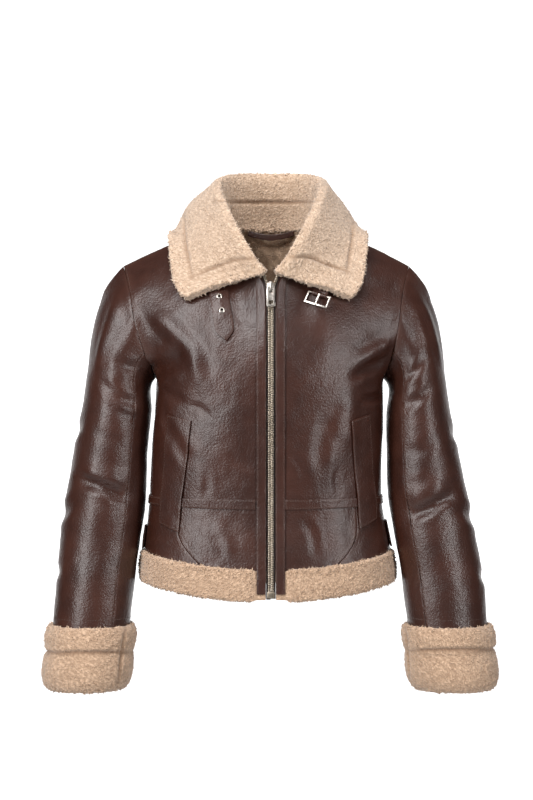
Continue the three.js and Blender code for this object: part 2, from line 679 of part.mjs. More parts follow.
function planUpperFront(side) {
  const pointAt = (place, row) => bodyPoint('front', side, place.share, row);
  const grid = gridOf(frontColumns(side), UPPER_ROWS, pointAt);
  planCloth(`front_${sideKey(side)}`, grid, flush, fullWall, LEATHER);
}

function planUpperBack() {
  planCloth('back', gridOf(BACK_COLUMNS, UPPER_ROWS, backPoint), flush, fullWall, LEATHER);
}

// Seam that slants from the foot of the pocket to the lower edge parts each lower front in two
function slantedShare(index, row) {
  const t = (row - LEATHER_EDGE) / (WAIST - LEATHER_EDGE);
  const seam = mix(SLANT_SHARE_LOW, SLANT_SHARE_HIGH, clamp01(t / SLANT_END));
  const plainSeam = FRONT_SHARES[SLANT_COLUMN];
  const share = FRONT_SHARES[index];
  const fromSeam = index <= SLANT_COLUMN ? share / plainSeam : (1 - share) / (1 - plainSeam);
  const slanted = index <= SLANT_COLUMN ? seam * fromSeam : 1 - (1 - seam) * fromSeam;
  return mix(slanted, share, smooth((t - 0.55) / 0.45));
}

function planLowerFront(side) {
  const places = FRONT_SHARES.map((share, index) => index);
  const inner = places.slice(0, SLANT_COLUMN + 1);
  const outer = places.slice(SLANT_COLUMN);
  for (const [name, list] of [['lower_front', inner], ['lower_side', outer]]) {
    const columns = side < 0 ? [...list].reverse() : list;
    const pointAt = (index, row) => bodyPoint('front', side, slantedShare(index, row), row);
    planCloth(`${name}_${sideKey(side)}`, gridOf(columns, LOWER_ROWS, pointAt), flush, fullWall, LEATHER);
  }
}

function planLowerBack() {
  planCloth('lower_back', gridOf(BACK_COLUMNS, LOWER_ROWS, backPoint), flush, fullWall, LEATHER);
}

// Sherpa band: it swells between its edges and lies flat where the strips beside the zip cover it
function bandOut(x, j) {
  const swell = Math.sin((Math.PI * (j + 0.35)) / (BAND_CELLS + 0.5));
  const free = smooth((Math.abs(x) - PLACKET_OUTER - 1) / 14);
  return mix(-0.8, PILE_ROOT + PILE_SWELL * swell, free);
}

const bandWall = () => -WALL - BAND_INNER_PILE;

function planHemBands() {
  for (const side of [-1, 1]) {
    const columns = FRONT_SHARES.map((share, index) => index);
    if (side < 0) columns.reverse();
    const grid = gridOf(columns, BAND_ROWS, (index, row) => {
      const share = mix(FRONT_SHARES[index], slantedShare(index, LEATHER_EDGE), row);
      return bodyPoint('front', side, share, row);
    });
    planCloth(`hem_band_${sideKey(side)}`, grid, (i, j) => bandOut(grid[j][i].x, j), bandWall, SHERPA);
  }
  const grid = gridOf(BACK_COLUMNS, BAND_ROWS, backPoint);
  planCloth('hem_band_back', grid, (i, j) => bandOut(LEVELS[0].right, j), bandWall, SHERPA);
}

// Sleeve rows from the wrist up to the armhole
const SLEEVE_ROWS = [
  ...levelRows(SLEEVE_LEVELS.length, 1, SLEEVE_CELLS),
  ...levelRows(1, 0, SLEEVE_CAP_CELLS).slice(1),
];

function planSleeve(side) {
  const under = [];
  for (let k = -UNDER_CELLS; k <= UNDER_CELLS; k += 1) under.push(k);
  const top = [];
  for (let k = UNDER_CELLS; k <= RING_CELLS - UNDER_CELLS; k += 1) top.push(k);
  for (const [name, list] of [['under_sleeve', under], ['top_sleeve', top]]) {
    const columns = side < 0 ? [...list].reverse() : list;
    const grid = gridOf(columns, SLEEVE_ROWS, (k, reach) => {
      const turn = (((k / RING_CELLS) % 1) + 1) % 1;
      return sleevePoint(side, turn, reach);
    });
    planCloth(`${name}_${sideKey(side)}`, grid, flush, fullWall, LEATHER, ARMHOLE_EASE);
  }
}

// Collar sections stand on the neckline places of the fronts and the back
function neckPlaces(side) {
  const places = [];
  const front = FRONT_SHARES.slice(0, NECK_CELLS_FRONT + 1);
  const back = BACK_SHARES.slice(0, NECK_CELLS_BACK).reverse();
  front.forEach((share) => places.push({ face: 'front', side, share }));
  back.forEach((share) => places.push({ face: 'back', side, share }));
  return places;
}

// Places all over the upper body with their outward directions
const bodySamples = [];
function sampleBody() {
  for (const side of [-1, 1]) {
    for (const face of ['front', 'back']) {
      for (const share of levelRows(0, 1, BODY_SAMPLES.across)) {
        for (const level of levelRows(BODY_SAMPLES.lowest, TOP, BODY_SAMPLES.up)) {
          bodySamples.push(bodySample(face, side, share, level));
        }
      }
    }
  }
}

function bodySample(face, side, share, level) {
  const turn = face === 'front' ? side : -side;
  const surface = (u, v) => bodyPoint(face, side, clamp01(u * turn), Math.min(TOP, v));
  const u = Math.min(0.99, Math.max(0.01, share)) * turn;
  const v = Math.min(TOP - 0.03, level);
  return { point: bodyPoint(face, side, share, level), normal: outward(surface, u, v, 0.008, 0.02) };
}

// Nearest place of the body and the height of a point above it
function aboveBody(point) {
  let nearest = bodySamples[0];
  let least = Infinity;
  for (const sample of bodySamples) {
    const distance = sample.point.distanceToSquared(point);
    if (distance < least) {
      least = distance;
      nearest = sample;
    }
  }
  return { nearest, height: point.clone().sub(nearest.point).dot(nearest.normal) };
}

// Moves the corners of a patch out until its middle clears the body
function restOnBody(corners, clearance) {
  const middle = vec(0, 0, 0);
  corners.forEach((corner) => middle.addScaledVector(corner, 1 / corners.length));
  const { nearest, height } = aboveBody(middle);
  if (height >= clearance) return;
  corners.forEach((corner) => corner.addScaledVector(nearest.normal, clearance - height));
}

const COLLAR_CELLS = COLLAR_STAND_CELLS + COLLAR_ROLL_CELLS + COLLAR_LEAF_CELLS;

// Middle of the collar's cloth along one section, from the neckline over the roll to the outer edge
function collarSection(share, side, foot) {
  const at = rowAt(COLLAR, 'share', share);
  const get = (key) => column(COLLAR, key, at);
  const narrow = side > 0 ? COLLAR_LEFT_SCALE : 1;
  const roll = vec(side * get('rollX') * mix(1, narrow, 0.4), get('rollY'), get('rollZ'));
  const edge = vec(side * get('edgeX') * narrow, get('edgeY'), get('edgeZ'));
  const away = edge.clone().sub(roll).setZ(0).normalize();
  const fall = edge.clone().sub(roll).normalize();
  const rise = roll.clone().sub(foot);
  const radius = Math.min(ROLL_RADIUS, rise.length() * 0.35);
  const standTop = moved(roll, rise.clone().normalize(), -radius * 1.2).addScaledVector(away, -radius * 0.7);
  const leafTop = moved(roll, fall, radius * 1.3).addScaledVector(away, radius * 0.3);
  const bulge = side > 0 ? mix(1, COLLAR_LEFT_BULGE, smooth((1 - share) / 0.3)) : 1;
  const middle = leafTop.clone().lerp(edge, 0.5).addScaledVector(away, get('out') * bulge);
  middle.z += get('up') * bulge;
  const keys = [foot, foot.clone().lerp(standTop, 0.5), standTop, roll, leafTop, middle, edge];
  const path = new THREE.CatmullRomCurve3(keys, false, 'centripetal');
  const stops = [];
  for (let k = 0; k <= COLLAR_STAND_CELLS; k += 1) stops.push((2 * k) / COLLAR_STAND_CELLS);
  for (let k = 1; k <= COLLAR_ROLL_CELLS; k += 1) stops.push(2 + (2 * k) / COLLAR_ROLL_CELLS);
  for (let k = 1; k <= COLLAR_LEAF_CELLS; k += 1) stops.push(4 + (2 * k) / COLLAR_LEAF_CELLS);
  return stops.map((stop) => path.getPoint(stop / 6));
}

// Rests the roll and the leaf on the body, spreading each push over its neighbours
function restSections(sections, clearanceAt) {
  const firstRoll = COLLAR_STAND_CELLS + 1;
  for (let pass = 0; pass < REST_PASSES; pass += 1) {
    const before = sections.map((section) => section.map((point) => point.clone()));
    sections.forEach((section, i) => section.forEach((point, k) => {
      if (k < firstRoll) return;
      restOnBody([point], clearanceAt(i, k));
      if (i === 0 || k === firstRoll) return;
      const beside = sections[i - 1];
      restOnBody([point, beside[k]], clearanceAt(i, k));
      restOnBody([point, beside[k], beside[k - 1], section[k - 1]], clearanceAt(i, k));
    }));
    if (pass === REST_PASSES - 1) return;
    const pushes = sections.map((section, i) => section.map((point, k) => point.clone().sub(before[i][k])));
    sections.forEach((section, i) => section.forEach((point, k) => {
      if (k < firstRoll || i === 0 || i === sections.length - 1) return;
      const spread = pushes[i - 1][k].clone().add(pushes[i + 1][k]).multiplyScalar(0.5);
      point.add(spread.sub(pushes[i][k]).multiplyScalar(0.5));
    }));
  }
}

function planCollar() {
  const right = neckPlaces(-1);
  const left = neckPlaces(1).reverse().slice(1);
  const places = [...right, ...left];
  const feet = places.map((place) => bodyPoint(place.face, place.side, place.share, TOP));
  const half = right.length - 1;
  const lengths = [0];
  for (let i = 1; i <= half; i += 1) lengths.push(lengths[i - 1] + feet[i].distanceTo(feet[i - 1]));
  const sections = places.map((place, i) => {
    const fromEnd = i <= half ? i : places.length - 1 - i;
    return collarSection(lengths[fromEnd] / lengths[half], place.side, feet[i]);
  });
  const clearanceAt = (i, k) => {
    const fromEnd = i <= half ? i : places.length - 1 - i;
    const full = mix(END_CLEARANCE, LEAF_CLEARANCE, smooth(lengths[fromEnd] / lengths[half] / 0.3));
    return mix(2, full, smooth((k - 3) / 3));
  };
  restSections(sections, clearanceAt);
  const rows = Array.from({ length: COLLAR_CELLS + 1 }, (unused, k) => k);
  const grid = rows.map((k) => sections.map((section) => section[k]));
  return grid;
}

// Adds the collar's leather side to the directions at the neckline before the body is sewn
function shareCollarFoot(grid) {
  const normals = gridNormals(grid);
  grid[0].forEach((point, i) => {
    const weight = point.z > HIGH_POINT_Z ? 2 : 1;
    sharedNormals.get(placeKey(point)).addScaledVector(centred(normals[0][i].clone(), point), -weight);
  });
}

// The collar's leather face continues the body's outside at the neckline
function sewCollar(grid) {
  const normals = gridNormals(grid).map((row) => row.map((normal) => normal.normalize()));
  const last = grid[0].length - 1;
  grid[0].forEach((point, i) => normals[0][i].copy(sharedNormal(point)).negate());
  const foot = grid[0].map((point, i) => moved(point, normals[0][i], WALL / 2));
  const half = (i, j) => mix(WALL, COLLAR_THICK, smooth(j / COLLAR_STAND_CELLS)) / 2;
  const border = (i, j) => {
    const inLeaf = j > COLLAR_STAND_CELLS + COLLAR_ROLL_CELLS - 1;
    const alongEdge = j === COLLAR_CELLS - 1 && i >= 1 && i <= last - 1;
    const alongEnd = inLeaf && j < COLLAR_CELLS && (i === 1 || i === last - 1);
    return alongEdge || alongEnd ? BORDER_GROOVE : 0;
  };
  const outerAt = (i, j) => half(i, j) - border(i, j);
  const innerAt = (i, j) => -half(i, j);
  addWall('collar', trimmed([foot, ...grid.slice(1)], 0), normals, outerAt, innerAt, COLLAR_SHERPA, true);
}

// A piece that lies on the cloth: places gives point and normal at a share across and a share upward
function addOverlay(name, across, up, placeAt, liftAt, thick, look) {
  const places = levelRows(0, 1, up).map((v) => levelRows(0, 1, across).map((u) => placeAt(u, v)));
  const grid = places.map((row) => row.map((place) => place.point));
  const normals = places.map((row) => row.map((place) => place.normal));
  const lift = (i, j) => liftAt(grid[j][i]);
  return addWall(name, grid, normals, (i, j) => lift(i, j) + thick, lift, look);
}

// Four corners seen from the front, lower left first and then round, as a place on the front
function patch(corners) {
  const [lowLeft, lowRight, highRight, highLeft] = corners;
  return (u, v) => {
    const x = mix(mix(lowLeft.x, lowRight.x, u), mix(highLeft.x, highRight.x, u), v);
    const z = mix(mix(lowLeft.z, lowRight.z, u), mix(highLeft.z, highRight.z, u), v);
    return frontPlace(x, z);
  };
}

// Strip of leather beside the zip
function addPlacket(side) {
  const placeAt = (u, v) => {
    const z = mix(PLACKET_FOOT, PLACKET_TOP, v);
    const inner = frontEdgeNear(z) + 0.4;
    const outer = PLACKET_OUTER + 0.35 * Math.max(0, inner - FRONT_EDGE);
    const share = side < 0 ? 1 - u : u;
    return frontPlace(side * mix(inner, outer, share), z);
  };
  addOverlay(`placket_${sideKey(side)}`, 1, 26, placeAt, () => OVERLAY_LIFT, PLACKET_THICK, LEATHER);
}

// Centre front by height, with how far its edge stands from the centre line
const centreLine = levelRows(0, TOP, 120).map((level) => bodyPoint('front', 1, 0, level));
function centreAt(z) {
  const next = Math.min(centreLine.length - 1, Math.max(1, centreLine.findIndex((point) => point.z >= z)));
  const t = (z - centreLine[next - 1].z) / (centreLine[next].z - centreLine[next - 1].z);
  return centreLine[next - 1].clone().lerp(centreLine[next], t);
}

function frontEdgeNear(z) {
  return centreAt(z).x;
}

// A bar with a rectangular section along the centre front, standing off it by a depth range
function addZipStrip(name, side, innerGap, width, nearOut, farOut, look) {
  const heights = levelRows(ZIP_END_Z, ZIP_TOP, ZIP_CELLS);
  const corners = [[0, nearOut], [0, farOut], [1, farOut], [1, nearOut]];
  const rings = heights.map((z) => {
    const centre = centreAt(z);
    const inner = centre.x - FRONT_EDGE + innerGap;
    return corners.map(([across, out]) => vec(side * (inner + across * width), centre.y - out, z));
  });
  if (side < 0) rings.forEach((ring) => ring.reverse());
  addTube(name, rings, look);
}

// Closed body through a row of rings with equal counts of points; its ends are flat fans
function addTube(name, rings, look) {
  const count = rings[0].length;
  const points = rings.flat();
  const faces = [];
  for (let k = 0; k + 1 < rings.length; k += 1) {
    for (let i = 0; i < count; i += 1) {
      const [a, b] = [k * count + i, k * count + ((i + 1) % count)];
      faces.push([a, b, b + count], [a, b + count, a + count]);
    }
  }
  const lastRing = (rings.length - 1) * count;
  for (let i = 1; i + 1 < count; i += 1) {
    faces.push([0, i + 1, i], [lastRing, lastRing + i, lastRing + i + 1]);
  }
  return addSolid(name, points, faces, look);
}

// One half of the zip: its teeth as one bar and the tape beside them
function addZip(side) {
  const key = sideKey(side);
  const tapeStart = TEETH_WIDTH + 1.5 * SEAM;
  const tapeWidth = FRONT_EDGE - 3 * SEAM - tapeStart;
  addZipStrip(`zip_teeth_${key}`, side, SEAM / 2, TEETH_WIDTH, TEETH_IN, TEETH_OUT, BRASS);
  addZipStrip(`zip_tape_${key}`, side, tapeStart, tapeWidth, TAPE_IN, TAPE_OUT, TAPE);
}

// Solid shapes for cutting and joining
function solidOf(geometry) {
  geometry.deleteAttribute('normal');
  geometry.deleteAttribute('uv');
  const merged = mergeVertices(geometry, 1e-4);
  const vertProperties = new Float32Array(merged.attributes.position.array);
  const triVerts = new Uint32Array(merged.index.array);
  return new wasm.Manifold(new wasm.Mesh({ numProp: 3, vertProperties, triVerts }));
}

function box(width, depth, height, x, y, z) {
  return solidOf(new THREE.BoxGeometry(width, depth, height).translate(x, y, z));
}

// Round bar along the first axis
function bar(radius, length, x, y, z) {
  const geometry = new THREE.CylinderGeometry(radius, radius, length, 16).rotateZ(Math.PI / 2);
  return solidOf(geometry.translate(x, y, z));
}

// Adds a joined shape after placing it in its frame
function addShape(name, shape, frame, look) {
  const mesh = shape.getMesh();
  const points = [];
  for (let k = 0; k < mesh.vertProperties.length; k += mesh.numProp) {
    points.push(vec(...mesh.vertProperties.slice(k, k + 3)).applyMatrix4(frame));
  }
  const faces = [];
  for (let k = 0; k < mesh.triVerts.length; k += 3) faces.push([...mesh.triVerts.slice(k, k + 3)]);
  return addSolid(name, points, faces, look);
}

// Frame on the centre line that leans with the zip over a reach above and below
function centreFrame(z, reach) {
  const up = centreAt(z + reach).sub(centreAt(z - reach)).setX(0).normalize();
  const across = vec(1, 0, 0);
  return new THREE.Matrix4().makeBasis(across, up.clone().cross(across), up).setPosition(centreAt(z).setX(0));
}

// Slider in its own frame: x across, y outward from the wearer is negative, z up; the teeth run through it
function sliderFrame() {
  return centreFrame(SLIDER_Z, 7);
}

function addSlider() {
  const front = TEETH_OUT + SEAM + PLATE / 2;
  const back = TAPE_IN - SEAM - PLATE / 2;
  const postZ = SLIDER_HEIGHT / 2 - 1;
  let shape = box(SLIDER_WIDTH, PLATE, SLIDER_HEIGHT, 0, -front, 0);
  shape = shape.add(box(SLIDER_WIDTH, PLATE, SLIDER_HEIGHT, 0, -back, 0));
  shape = shape.add(box(1.6, front - back + PLATE / 2, 3, 0, -(front + back) / 2, postZ + 1.6));
  shape = shape.add(box(4, PLATE, 4, 0, -front, postZ + 1.2)).add(box(4, PLATE, 4, 0, -back, postZ + 1.2));
  const plateOut = TEETH_OUT + SEAM;
  shape = shape.add(box(2.4, 1.2, 10.4, 0, -ARCH_OUT - 0.6, 0));
  const legMiddle = (ARCH_OUT + plateOut) / 2;
  for (const z of [-4.6, 4.6]) shape = shape.add(box(2.4, ARCH_OUT - plateOut, 1.2, 0, -legMiddle, z));
  addShape('zip_slider', shape, sliderFrame(), NICKEL);
}

// Pull tab: its top bar lies under the slider's arch, and a window is cut near its foot
function addPullTab() {
  let shape = box(PULL_WIDTH, PULL_THICK, PULL_LENGTH, 0, -AXIS_OUT, -PULL_LENGTH / 2 + 1.2);
  shape = shape.subtract(box(6, 5, 8.2, 0, -AXIS_OUT, -5.3));
  shape = shape.subtract(box(6.6, 5, 6.6, 0, -AXIS_OUT, -24));
  addShape('pull_tab', shape, sliderFrame(), NICKEL);
}

function addZipStop() {
  const stop = box(STOP.width, STOP.depth, STOP.height, 0, -0.6, 0);
  addShape('zip_stop', stop, centreFrame(ZIP_END_Z - 5, 6), BRASS);
}

// Level at a share of the way up the raised strip over the waist seam
function waistRow(level) {
  return WAIST + (level - 0.5) * 2 * STRIP_HALF;
}

function bodyPlace(face, side, share, level) {
  const turn = face === 'front' ? side : -side;
  const surface = (u, v) => bodyPoint(face, side, clamp01(u * turn), v);
  const u = Math.min(0.99, Math.max(0.01, share)) * turn;
  return { point: bodyPoint(face, side, share, level), normal: outward(surface, u, level, 0.006, 0.02) };
}

function addWaistStrips() {
  const start = onFront(PLACKET_OUTER + 0.5, -420).share;
  for (const side of [-1, 1]) {
    const placeAt = (u, v) => {
      const share = side < 0 ? 1 - u : u;
      return bodyPlace('front', side, mix(start, 0.995, share), waistRow(v));
    };
    addOverlay(`waist_strip_${sideKey(side)}`, 14, 1, placeAt, () => OVERLAY_LIFT, STRIP_THICK, LEATHER);
  }
  const placeBack = (u, v) => {
    const side = u < 0.5 ? 1 : -1;
    return bodyPlace('back', side, Math.abs(1 - 2 * u) * 0.995, waistRow(v));
  };
  addOverlay('waist_strip_back', 24, 1, placeBack, () => OVERLAY_LIFT, STRIP_THICK, LEATHER);
}

// Pocket welts cross the waist strip and stand a little higher there
function weltLift(point) {
  const away = Math.abs(point.z + 420);
  return mix(OVERLAY_LIFT + STRIP_THICK + 0.7, OVERLAY_LIFT + 0.2, smooth((away - 14) / 16));
}

function addWelt(side) {
  const key = sideKey(side);
  addOverlay(`welt_${key}`, 3, 12, patch(WELTS[key]), weltLift, WELT_THICK, LEATHER);
}

// Frame of a place on the cloth: x to the right, y into the cloth, z up along it
function placeFrame(place) {
  const inward = place.normal.clone().negate();
  const across = inward.clone().cross(vec(0, 0, 1)).normalize();
  const up = across.clone().cross(inward);
  return new THREE.Matrix4().makeBasis(across, inward, up).setPosition(place.point);
}

// Throat strap with a pointed end and two metal eyelets
function addThroatStrap() {
  const flat = patch(STRAP_CORNERS);
  const placeAt = (u, v) => {
    if (v > 0) return flat(u, v);
    const inward = 1 - Math.abs(2 * u - 1);
    const x = mix(STRAP_CORNERS[0].x, STRAP_CORNERS[1].x, u) + 2 * inward;
    const z = mix(STRAP_CORNERS[0].z, STRAP_CORNERS[1].z, u) - STRAP_TIP * inward;
    return frontPlace(x, z);
  };
  const strap = addOverlay('throat_strap', 2, 6, placeAt, () => OVERLAY_LIFT, STRAP_THICK, LEATHER);
  let shape = solidOf(strap.geometry.clone());
  for (const [name, spot] of Object.entries(EYELETS)) {
    const frame = placeFrame(frontPlace(spot.x, spot.z));
    const drill = new THREE.CylinderGeometry(EYELET_HOLE + 0.7, EYELET_HOLE + 0.7, 12, 20);
    shape = shape.subtract(solidOf(drill.applyMatrix4(frame)));
    addEyelet(name, frame);
  }
  root.remove(strap);
  addShape('throat_strap', shape, new THREE.Matrix4(), LEATHER);
}

function addEyelet(name, frame) {
  const top = OVERLAY_LIFT + STRAP_THICK;
  const profile = [
    [EYELET_HOLE, OVERLAY_LIFT + 0.3],
    [EYELET_HOLE + 0.4, OVERLAY_LIFT + 0.3],
    [EYELET_HOLE + 0.4, top + 0.35],
    [EYELET_FLANGE, top + 0.35],
    [EYELET_FLANGE - 0.5, top + 1],
    [EYELET_HOLE + 0.5, top + 1.3],
    [EYELET_HOLE, top + 0.9],
  ];
  const outline = [...profile, profile[0]].map(([radius, height]) => new THREE.Vector2(radius, -height));
  addShape(name, solidOf(new THREE.LatheGeometry(outline.reverse(), 20)), frame, NICKEL);
}

// Buckle in its own frame: x along its rails, y inward, z toward the collar
function buckleFrame() {
  const frame = placeFrame(frontPlace(BUCKLE.x, BUCKLE.z));
  return frame.multiply(new THREE.Matrix4().makeRotationY(THREE.MathUtils.degToRad(BUCKLE.tilt)));
}

function addBuckleFrame() {
  const { width, height, wire } = BUCKLE;
  const heelBar = bar(wire / 2, width - 1, 0, -BUCKLE_OUT, HEEL_Z);
  let shape = box(width, wire, wire, 0, -BUCKLE_OUT, -HEEL_Z).add(heelBar);
  for (const x of [-1, 1]) {
    shape = shape.add(box(wire, wire, height, x * (width / 2 - wire / 2), -BUCKLE_OUT, 0));
  }
  addShape('buckle_frame', shape, buckleFrame(), NICKEL);
}

function addBuckleProng() {
  const loop = bar(2.7, 2.6, 0, -BUCKLE_OUT, HEEL_Z).subtract(bar(1.45, 6, 0, -BUCKLE_OUT, HEEL_Z));
  const above = -BUCKLE_OUT - BUCKLE.wire / 2 - 1.2;
  const pin = box(1.8, 1.4, 2 * HEEL_Z - 0.4, 0, above, -1.6);
  addShape('buckle_prong', loop.add(pin), buckleFrame(), NICKEL);
}

function addBuckleTab() {
  const loop = bar(2.9, 22, 0, -BUCKLE_OUT, HEEL_Z).subtract(bar(1.5, 30, 0, -BUCKLE_OUT, HEEL_Z));
  const tail = box(22, 2.4, 11, 0, -BUCKLE_OUT + 1.9, HEEL_Z + 2.2 + 5.5);
  const slot = box(4.2, 10, 8, 0, -BUCKLE_OUT, HEEL_Z + 0.5);
  addShape('buckle_tab', loop.add(tail).subtract(slot), buckleFrame(), LEATHER);
}

// Cuff: a closed outline carried round the wrist
function addCuff(side) {
  const turns = levelRows(0, 1, RING_CELLS).slice(0, RING_CELLS);
  const wrist = SLEEVE_LEVELS.length;
  const rings = turns.map((turn) => {
    const end = sleevePoint(side, turn, wrist);
    const above = sleevePoint(side, turn, wrist - 1);
    const centre = vec(0, 0, 0);
    for (const other of [0, 0.25, 0.5, 0.75]) centre.addScaledVector(sleevePoint(side, other, wrist), 0.25);
    const away = end.clone().sub(centre).setZ(0).normalize();
    const run = end.clone().sub(above).divideScalar(above.z - end.z);
    return CUFF_PROFILE.map(({ drop, out }) => {
      const z = CUFF_TOP - drop;
      return moved(end, run, end.z - z).setZ(z).addScaledVector(away, out);
    });
  });
  if (side < 0) rings.forEach((ring) => ring.reverse());
  addRing(`cuff_${sideKey(side)}`, rings, SHERPA);
}

// Closed body through rings that return to the first one
function addRing(name, rings, look) {
  const count = rings[0].length;
  const faces = [];
  rings.forEach((ring, k) => ring.forEach((point, i) => {
    const ahead = (k + 1) % rings.length;
    const next = (i + 1) % count;
    faces.push([k * count + i, k * count + next, ahead * count + next]);
    faces.push([k * count + i, ahead * count + next, ahead * count + i]);
  }));
  return addSolid(name, rings.flat(), faces, look);
}

// Tabs at the sides of the waist, from just before the side seam round toward the back
function addSideTab(side) {
  const { low, high } = SIDE_TABS[sideKey(side)];
  const placeAt = (u, v) => {
    const along = side < 0 ? 1 - u : u;
    const turn = mix(-TAB_FRONT, TAB_BACK, along);
    const face = turn < 0 ? 'front' : 'back';
    return bodyPlace(face, side, 1 - Math.abs(turn), mix(low, high, v));
  };
  addOverlay(`side_tab_${sideKey(side)}`, 6, 2, placeAt, () => OVERLAY_LIFT + 0.1, TAB_THICK, LEATHER);
}

// Hanger loop: a band that bridges the hollow of the back neck
function addHangerLoop() {
  const rings = levelRows(-1, 1, 8).map((t) => {
    const x = HANGER.reach * t;
    const z = HANGER.topZ - HANGER.sag * (1 - t * t);
    const y = HANGER.endY - 1.5 * (1 - t * t);
    return [[0, 0], [0, -HANGER.height], [HANGER.thick, -HANGER.height], [HANGER.thick, 0]]
      .map(([deep, down]) => vec(x, y + deep, z + down));
  });
  addTube('hanger_loop', rings, LEATHER);
}

for (const side of [-1, 1]) {
  planUpperFront(side);
  planLowerFront(side);
  planSleeve(side);
}
planUpperBack();
planLowerBack();
planHemBands();
sampleBody();
const collarGrid = planCollar();
shareCollarFoot(collarGrid);
sewCloth();
sewCollar(collarGrid);
for (const side of [-1, 1]) {
  addCuff(side);
  addPlacket(side);
  addZip(side);
  addWelt(side);
  addSideTab(side);
}
addWaistStrips();
addSlider();
addPullTab();
addZipStop();
addThroatStrap();
addBuckleFrame();
addBuckleProng();
addBuckleTab();
addHangerLoop();

export default root;
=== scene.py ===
"""Sherpa lined jacket: its leather, pile, stitching, zip and hardware, with a studio and a camera."""

import logging
import math
from abc import ABC, abstractmethod
from dataclasses import dataclass, field
from enum import Enum
from typing import Iterable, Sequence

import bmesh
import bpy
import numpy as np
from mathutils import Matrix, Vector, noise
from mathutils.bvhtree import BVHTree
from mathutils.kdtree import KDTree


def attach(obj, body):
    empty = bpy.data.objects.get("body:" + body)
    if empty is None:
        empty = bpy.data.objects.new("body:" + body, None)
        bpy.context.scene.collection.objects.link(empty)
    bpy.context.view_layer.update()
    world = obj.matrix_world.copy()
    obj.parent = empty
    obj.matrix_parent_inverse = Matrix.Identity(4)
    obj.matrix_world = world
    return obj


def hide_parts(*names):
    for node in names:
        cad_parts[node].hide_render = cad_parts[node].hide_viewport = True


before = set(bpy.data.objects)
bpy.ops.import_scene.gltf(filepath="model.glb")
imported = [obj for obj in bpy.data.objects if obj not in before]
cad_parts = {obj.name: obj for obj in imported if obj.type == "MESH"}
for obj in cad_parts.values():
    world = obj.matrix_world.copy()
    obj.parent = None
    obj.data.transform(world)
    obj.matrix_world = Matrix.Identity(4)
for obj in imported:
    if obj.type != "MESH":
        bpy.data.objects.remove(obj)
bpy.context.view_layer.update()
LOG = logging.getLogger("jacket")

MM = 0.001
MERGE_DISTANCE = 1e-6
SHARP_ANGLE = math.radians(50)
JACKET = "jacket"
BODY_SPINE = (Vector((0.0, 0.005, 0.0)), Vector((0.0, 0.005, -0.6)))
SLEEVE_SPINE_TOP = Vector((0.185, 0.0, -0.08))
SLEEVE_SPINE_END = Vector((0.272, -0.02, -0.62))

Colour = tuple[float, float, float]
Place = tuple[float, float]


# Finishes


